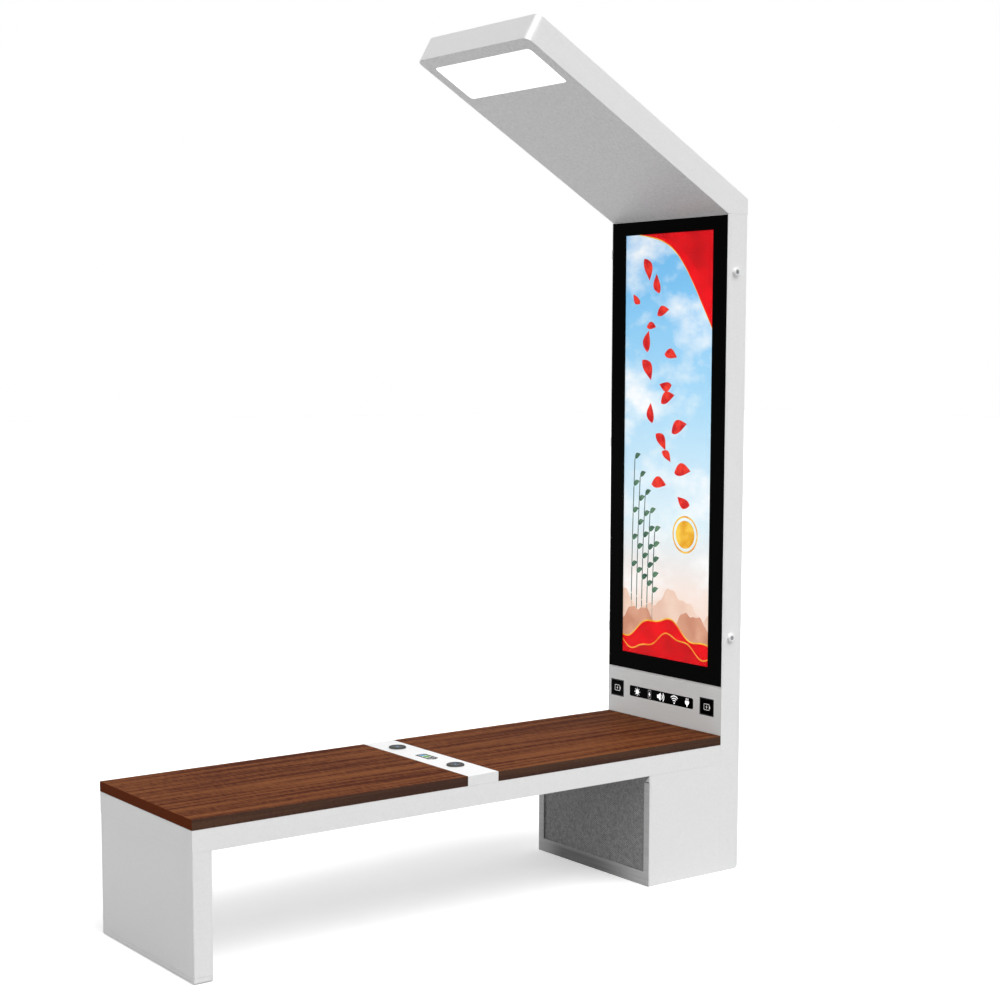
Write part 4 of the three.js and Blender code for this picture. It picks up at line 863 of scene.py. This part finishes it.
def leaf(middle, length, turn):
    """Outline of a pointed leaf: its half width is a sine of the way along, fuller near the stalk, and
    its spine is bowed by another sine."""
    share = np.linspace(0, 1, 15)
    half = 0.26 * length * np.sin(np.pi * share ** 0.8)
    x = np.concatenate([share, share[-2:0:-1]]) * length - length / 2
    y = np.concatenate([half, -half[-2:0:-1]]) + 0.12 * length * np.sin(np.pi * (x / length + 0.5))
    turned_x = x * math.cos(turn) - y * math.sin(turn)
    turned_y = x * math.sin(turn) + y * math.cos(turn)
    return np.stack([middle[0] + turned_x, middle[1] + turned_y], axis=1).tolist()


# Leaves drift down across the picture, swaying, each of its own size and turn
wind = np.random.default_rng(5)
leaves = []
leaf_count, leaf_top, leaf_fall = 17, 1960, 760
for number in range(leaf_count):
    share = number / (leaf_count - 1)
    drift = -110 + 150 * share + 70 * math.sin(2.4 * number)
    length = 46 + 40 * wind.random()
    leaves.append(leaf((drift, leaf_top - leaf_fall * share), length, 6.28 * wind.random()))
motif("leaves", [prism(outline, layer(2), 0, ink_thick) for outline in leaves],
      ink("leaf_red", "#C4161C", "#EF3A2A", 30))


def bowed(foot, lean, up):
    """How far across a bamboo stem has got at a height: it bows like a parabola from its foot."""
    return foot + lean * ((up - ground) / 500) ** 2


# Each bamboo stem is lower and leans more than the one before it. A blade grows at every upper knot.
ground = 780
stems, blades = [], []
for number in range(5):
    foot, top, lean = -175 + 27 * number, 1330 - 60 * number, 10 + 4 * number
    knots = np.linspace(ground, top, 7)
    for low_knot, high_knot in zip(knots[:-1], knots[1:]):
        joint = [(bowed(foot, lean, up), up) for up in (low_knot + 2, high_knot - 1)]
        stems.append(prism(stroke(joint, 4.2), layer(1), 0, ink_thick))
    for knot in knots[2:]:
        outline = leaf((bowed(foot, lean, knot) + 15, knot + 8), 34, 0.5)
        blades.append(prism(outline, layer(1), 0, ink_thick))
motif("bamboo_stems", stems, ink("bamboo_stem", "#2E4B45", "#4D6E60", 50))
motif("bamboo_blades", blades, ink("bamboo_blade", "#37584A", "#5F8467", 30))

# Light box
# Folded aluminium behind the film, with an acrylic guide, two strips of diodes and a steel back.
dress(anodised, "light_box", "led_bar_front", "led_bar_rear")
dress(zinc, "door_back", "strike_upper", "strike_lower")

# Light guide: cast acrylic, with a lattice of white dots every 6 mm that lets the light out.
guide, tree, sockets, place = finish("dotted_acrylic", "#EEF4F6", 0.15)
dots = add(tree, "ShaderNodeTexVoronoi", {"Vector": place, "Scale": per(6), "Randomness": 0.0})
spots = add(tree, "ShaderNodeMapRange", {"Value": dots, "From Min": 0.2, "From Max": 0.25})
add(tree, "ShaderNodeMix", {factor: spots, first: "#FFFFFF", second: "#DCE8EC"}, sockets["Base Color"])
dress(guide, "light_guide")

# Hinges
# Three lift-off hinges of zinc-plated steel behind the rear edge of the case, each with one half in a
# rebate of the column and one on the door.
for place_name in ("lower", "middle", "upper"):
    for half, body in (("fixed", "root"), ("moving", "door")):
        node = f"hinge_{place_name}_{half}"
        eased(node, f"{node}_half", zinc, 0, body=body)

# Locks
# Two quarter-turn cam locks in the side wall: a white domed ring, a dull plated core with a key slot,
# and a zinc-plated cam behind.
plated, tree, sockets, place = finish("dull_plated_core", "#8E9092", 0.38, Metallic=1.0)
scratches = add(tree, "ShaderNodeTexNoise", {"Vector": place, "Scale": per(1.5), "Detail": 4.0})
add(tree, "ShaderNodeMapRange", {"Value": scratches, "To Min": 0.3, "To Max": 0.5}, sockets["Roughness"])
# The ring's section as (radius, height): a threaded barrel with its nut behind, and the dome in front
bore, barrel, nut, dome_round, proud = 7.3, 9.7, 13, 5.0, 9.0
back, nut_back, nut_front = -13, -7.3, -3.3
for place_name in ("lower", "upper"):
    low, high, middle = box_mm(f"lock_{place_name}_body")
    head = middle[2] - low[2]
    section = [(bore, back), (barrel, back), (barrel, nut_back), (nut, nut_back), (nut, nut_front),
               (barrel, nut_front), (barrel, gap), (head - 0.4, gap), (head, gap + 0.4)]
    section += bend((head - dome_round, proud - dome_round), dome_round, 0, 90, 8)
    section += [(8.3, proud), (7.6, proud - 0.2), (bore, proud - 0.7), (bore, back)]
    dome = [turned(section, (middle[0], low[1] + proud, middle[2]), "-Y", 64)]
    ring = piece(f"lock_{place_name}_ring", dome, powder_coat)
    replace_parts(ring, f"lock_{place_name}_body")
    eased(f"lock_{place_name}_plug", f"lock_{place_name}_core", plated, 0.2,
          body=f"lock_{place_name}")
    dress(zinc, f"lock_{place_name}_cam")

# Canopy
# A folded white box that carries on from the column at 30 degrees, with a rounded outer end. Steel
# plates inside the fold splice it to the column.
eased("canopy_shell", "canopy_box", powder_coat, 0.8)
dress(zinc, "knee_plate_front", "knee_plate_rear")

# Canopy lamp
# A satin opal lens let into the underside, over a board of diodes in a finned housing.
opal, tree, sockets, place = finish("opal_acrylic_lens", "#FFFFFF", 0.35, Emission_Strength=1.0)
diodes = add(tree, "ShaderNodeTexNoise", {"Vector": place, "Scale": per(60), "Detail": 1.0})
value = add(tree, "ShaderNodeMapRange", {"Value": diodes, "To Min": 0.9, "To Max": 1.0})
add(tree, "ShaderNodeCombineColor", {"Red": value, "Green": value, "Blue": value},
    sockets["Emission Color"])
eased("lamp_lens", "lamp_lens_cover", opal, 0.3)
white_board, tree, sockets, place = finish("white_diode_board", "#F2F2EE", 0.4)
grit = add(tree, "ShaderNodeTexNoise", {"Vector": place, "Scale": per(2), "Detail": 2.0})
add(tree, "ShaderNodeBump", {"Height": grit, "Distance": 0.02 * mm}, sockets["Normal"])
dress(white_board, "lamp_board")

# Solar panel
# A laminate of dark blue cells under etched glass in an anodised frame, let into the upper face of the
# canopy. Five by three cells of about 160 mm lie in it, with white gaps and silver busbars.
eased("solar_frame", "solar_panel_frame", anodised, 0.4)
cells, tree, sockets, place = finish("laminated_solar_cells", "#0E1A36", 0.12, Specular_IOR_Level=0.1,
                                     Coat_Weight=1.0, Coat_Roughness=0.04, Coat_IOR=1.2)
slope_angle = math.radians(30)
cells_up, cells_across, busbar_gaps = 5, 3, 5
cell_space, busbar_width = 2 * mm, 0.7 * mm
low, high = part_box("solar_laminate")
wide, deep, tall = high - low
up_slope = ((wide * math.cos(slope_angle) - tall * math.sin(slope_angle))
            / (math.cos(slope_angle) ** 2 - math.sin(slope_angle) ** 2))
cell_up, cell_across = up_slope / cells_up, deep / cells_across
turned_flat = add(tree, "ShaderNodeVectorRotate", {"Vector": place, "Center": tuple((low + high) / 2),
                                                   "Angle": -slope_angle}, rotation_type="Y_AXIS")
corner = (low + high) / 2 - Vector((up_slope / 2, deep / 2, 0))
shifted = add(tree, "ShaderNodeVectorMath", {0: turned_flat, 1: tuple(corner)}, operation="SUBTRACT")
cell_lines = add(tree, "ShaderNodeTexBrick", {"Vector": shifted, "Scale": 1.0, "Color1": "#0E1A36",
                                              "Color2": "#122246", "Mortar": "#C9CDD2",
                                              "Mortar Size": cell_space, "Brick Width": cell_up,
                                              "Row Height": cell_across}, offset=0.0, squash=1.0)
busbars = add(tree, "ShaderNodeTexBrick", {"Vector": shifted, "Scale": 1.0,
                                           "Mortar Size": busbar_width, "Brick Width": 2 * up_slope,
                                           "Row Height": cell_across / busbar_gaps},
              offset=0.0, squash=1.0)
add(tree, "ShaderNodeMix", {factor: busbars.outputs["Fac"], first: cell_lines, second: "#9AA3AD"},
    sockets["Base Color"])
dress(cells, "solar_laminate")
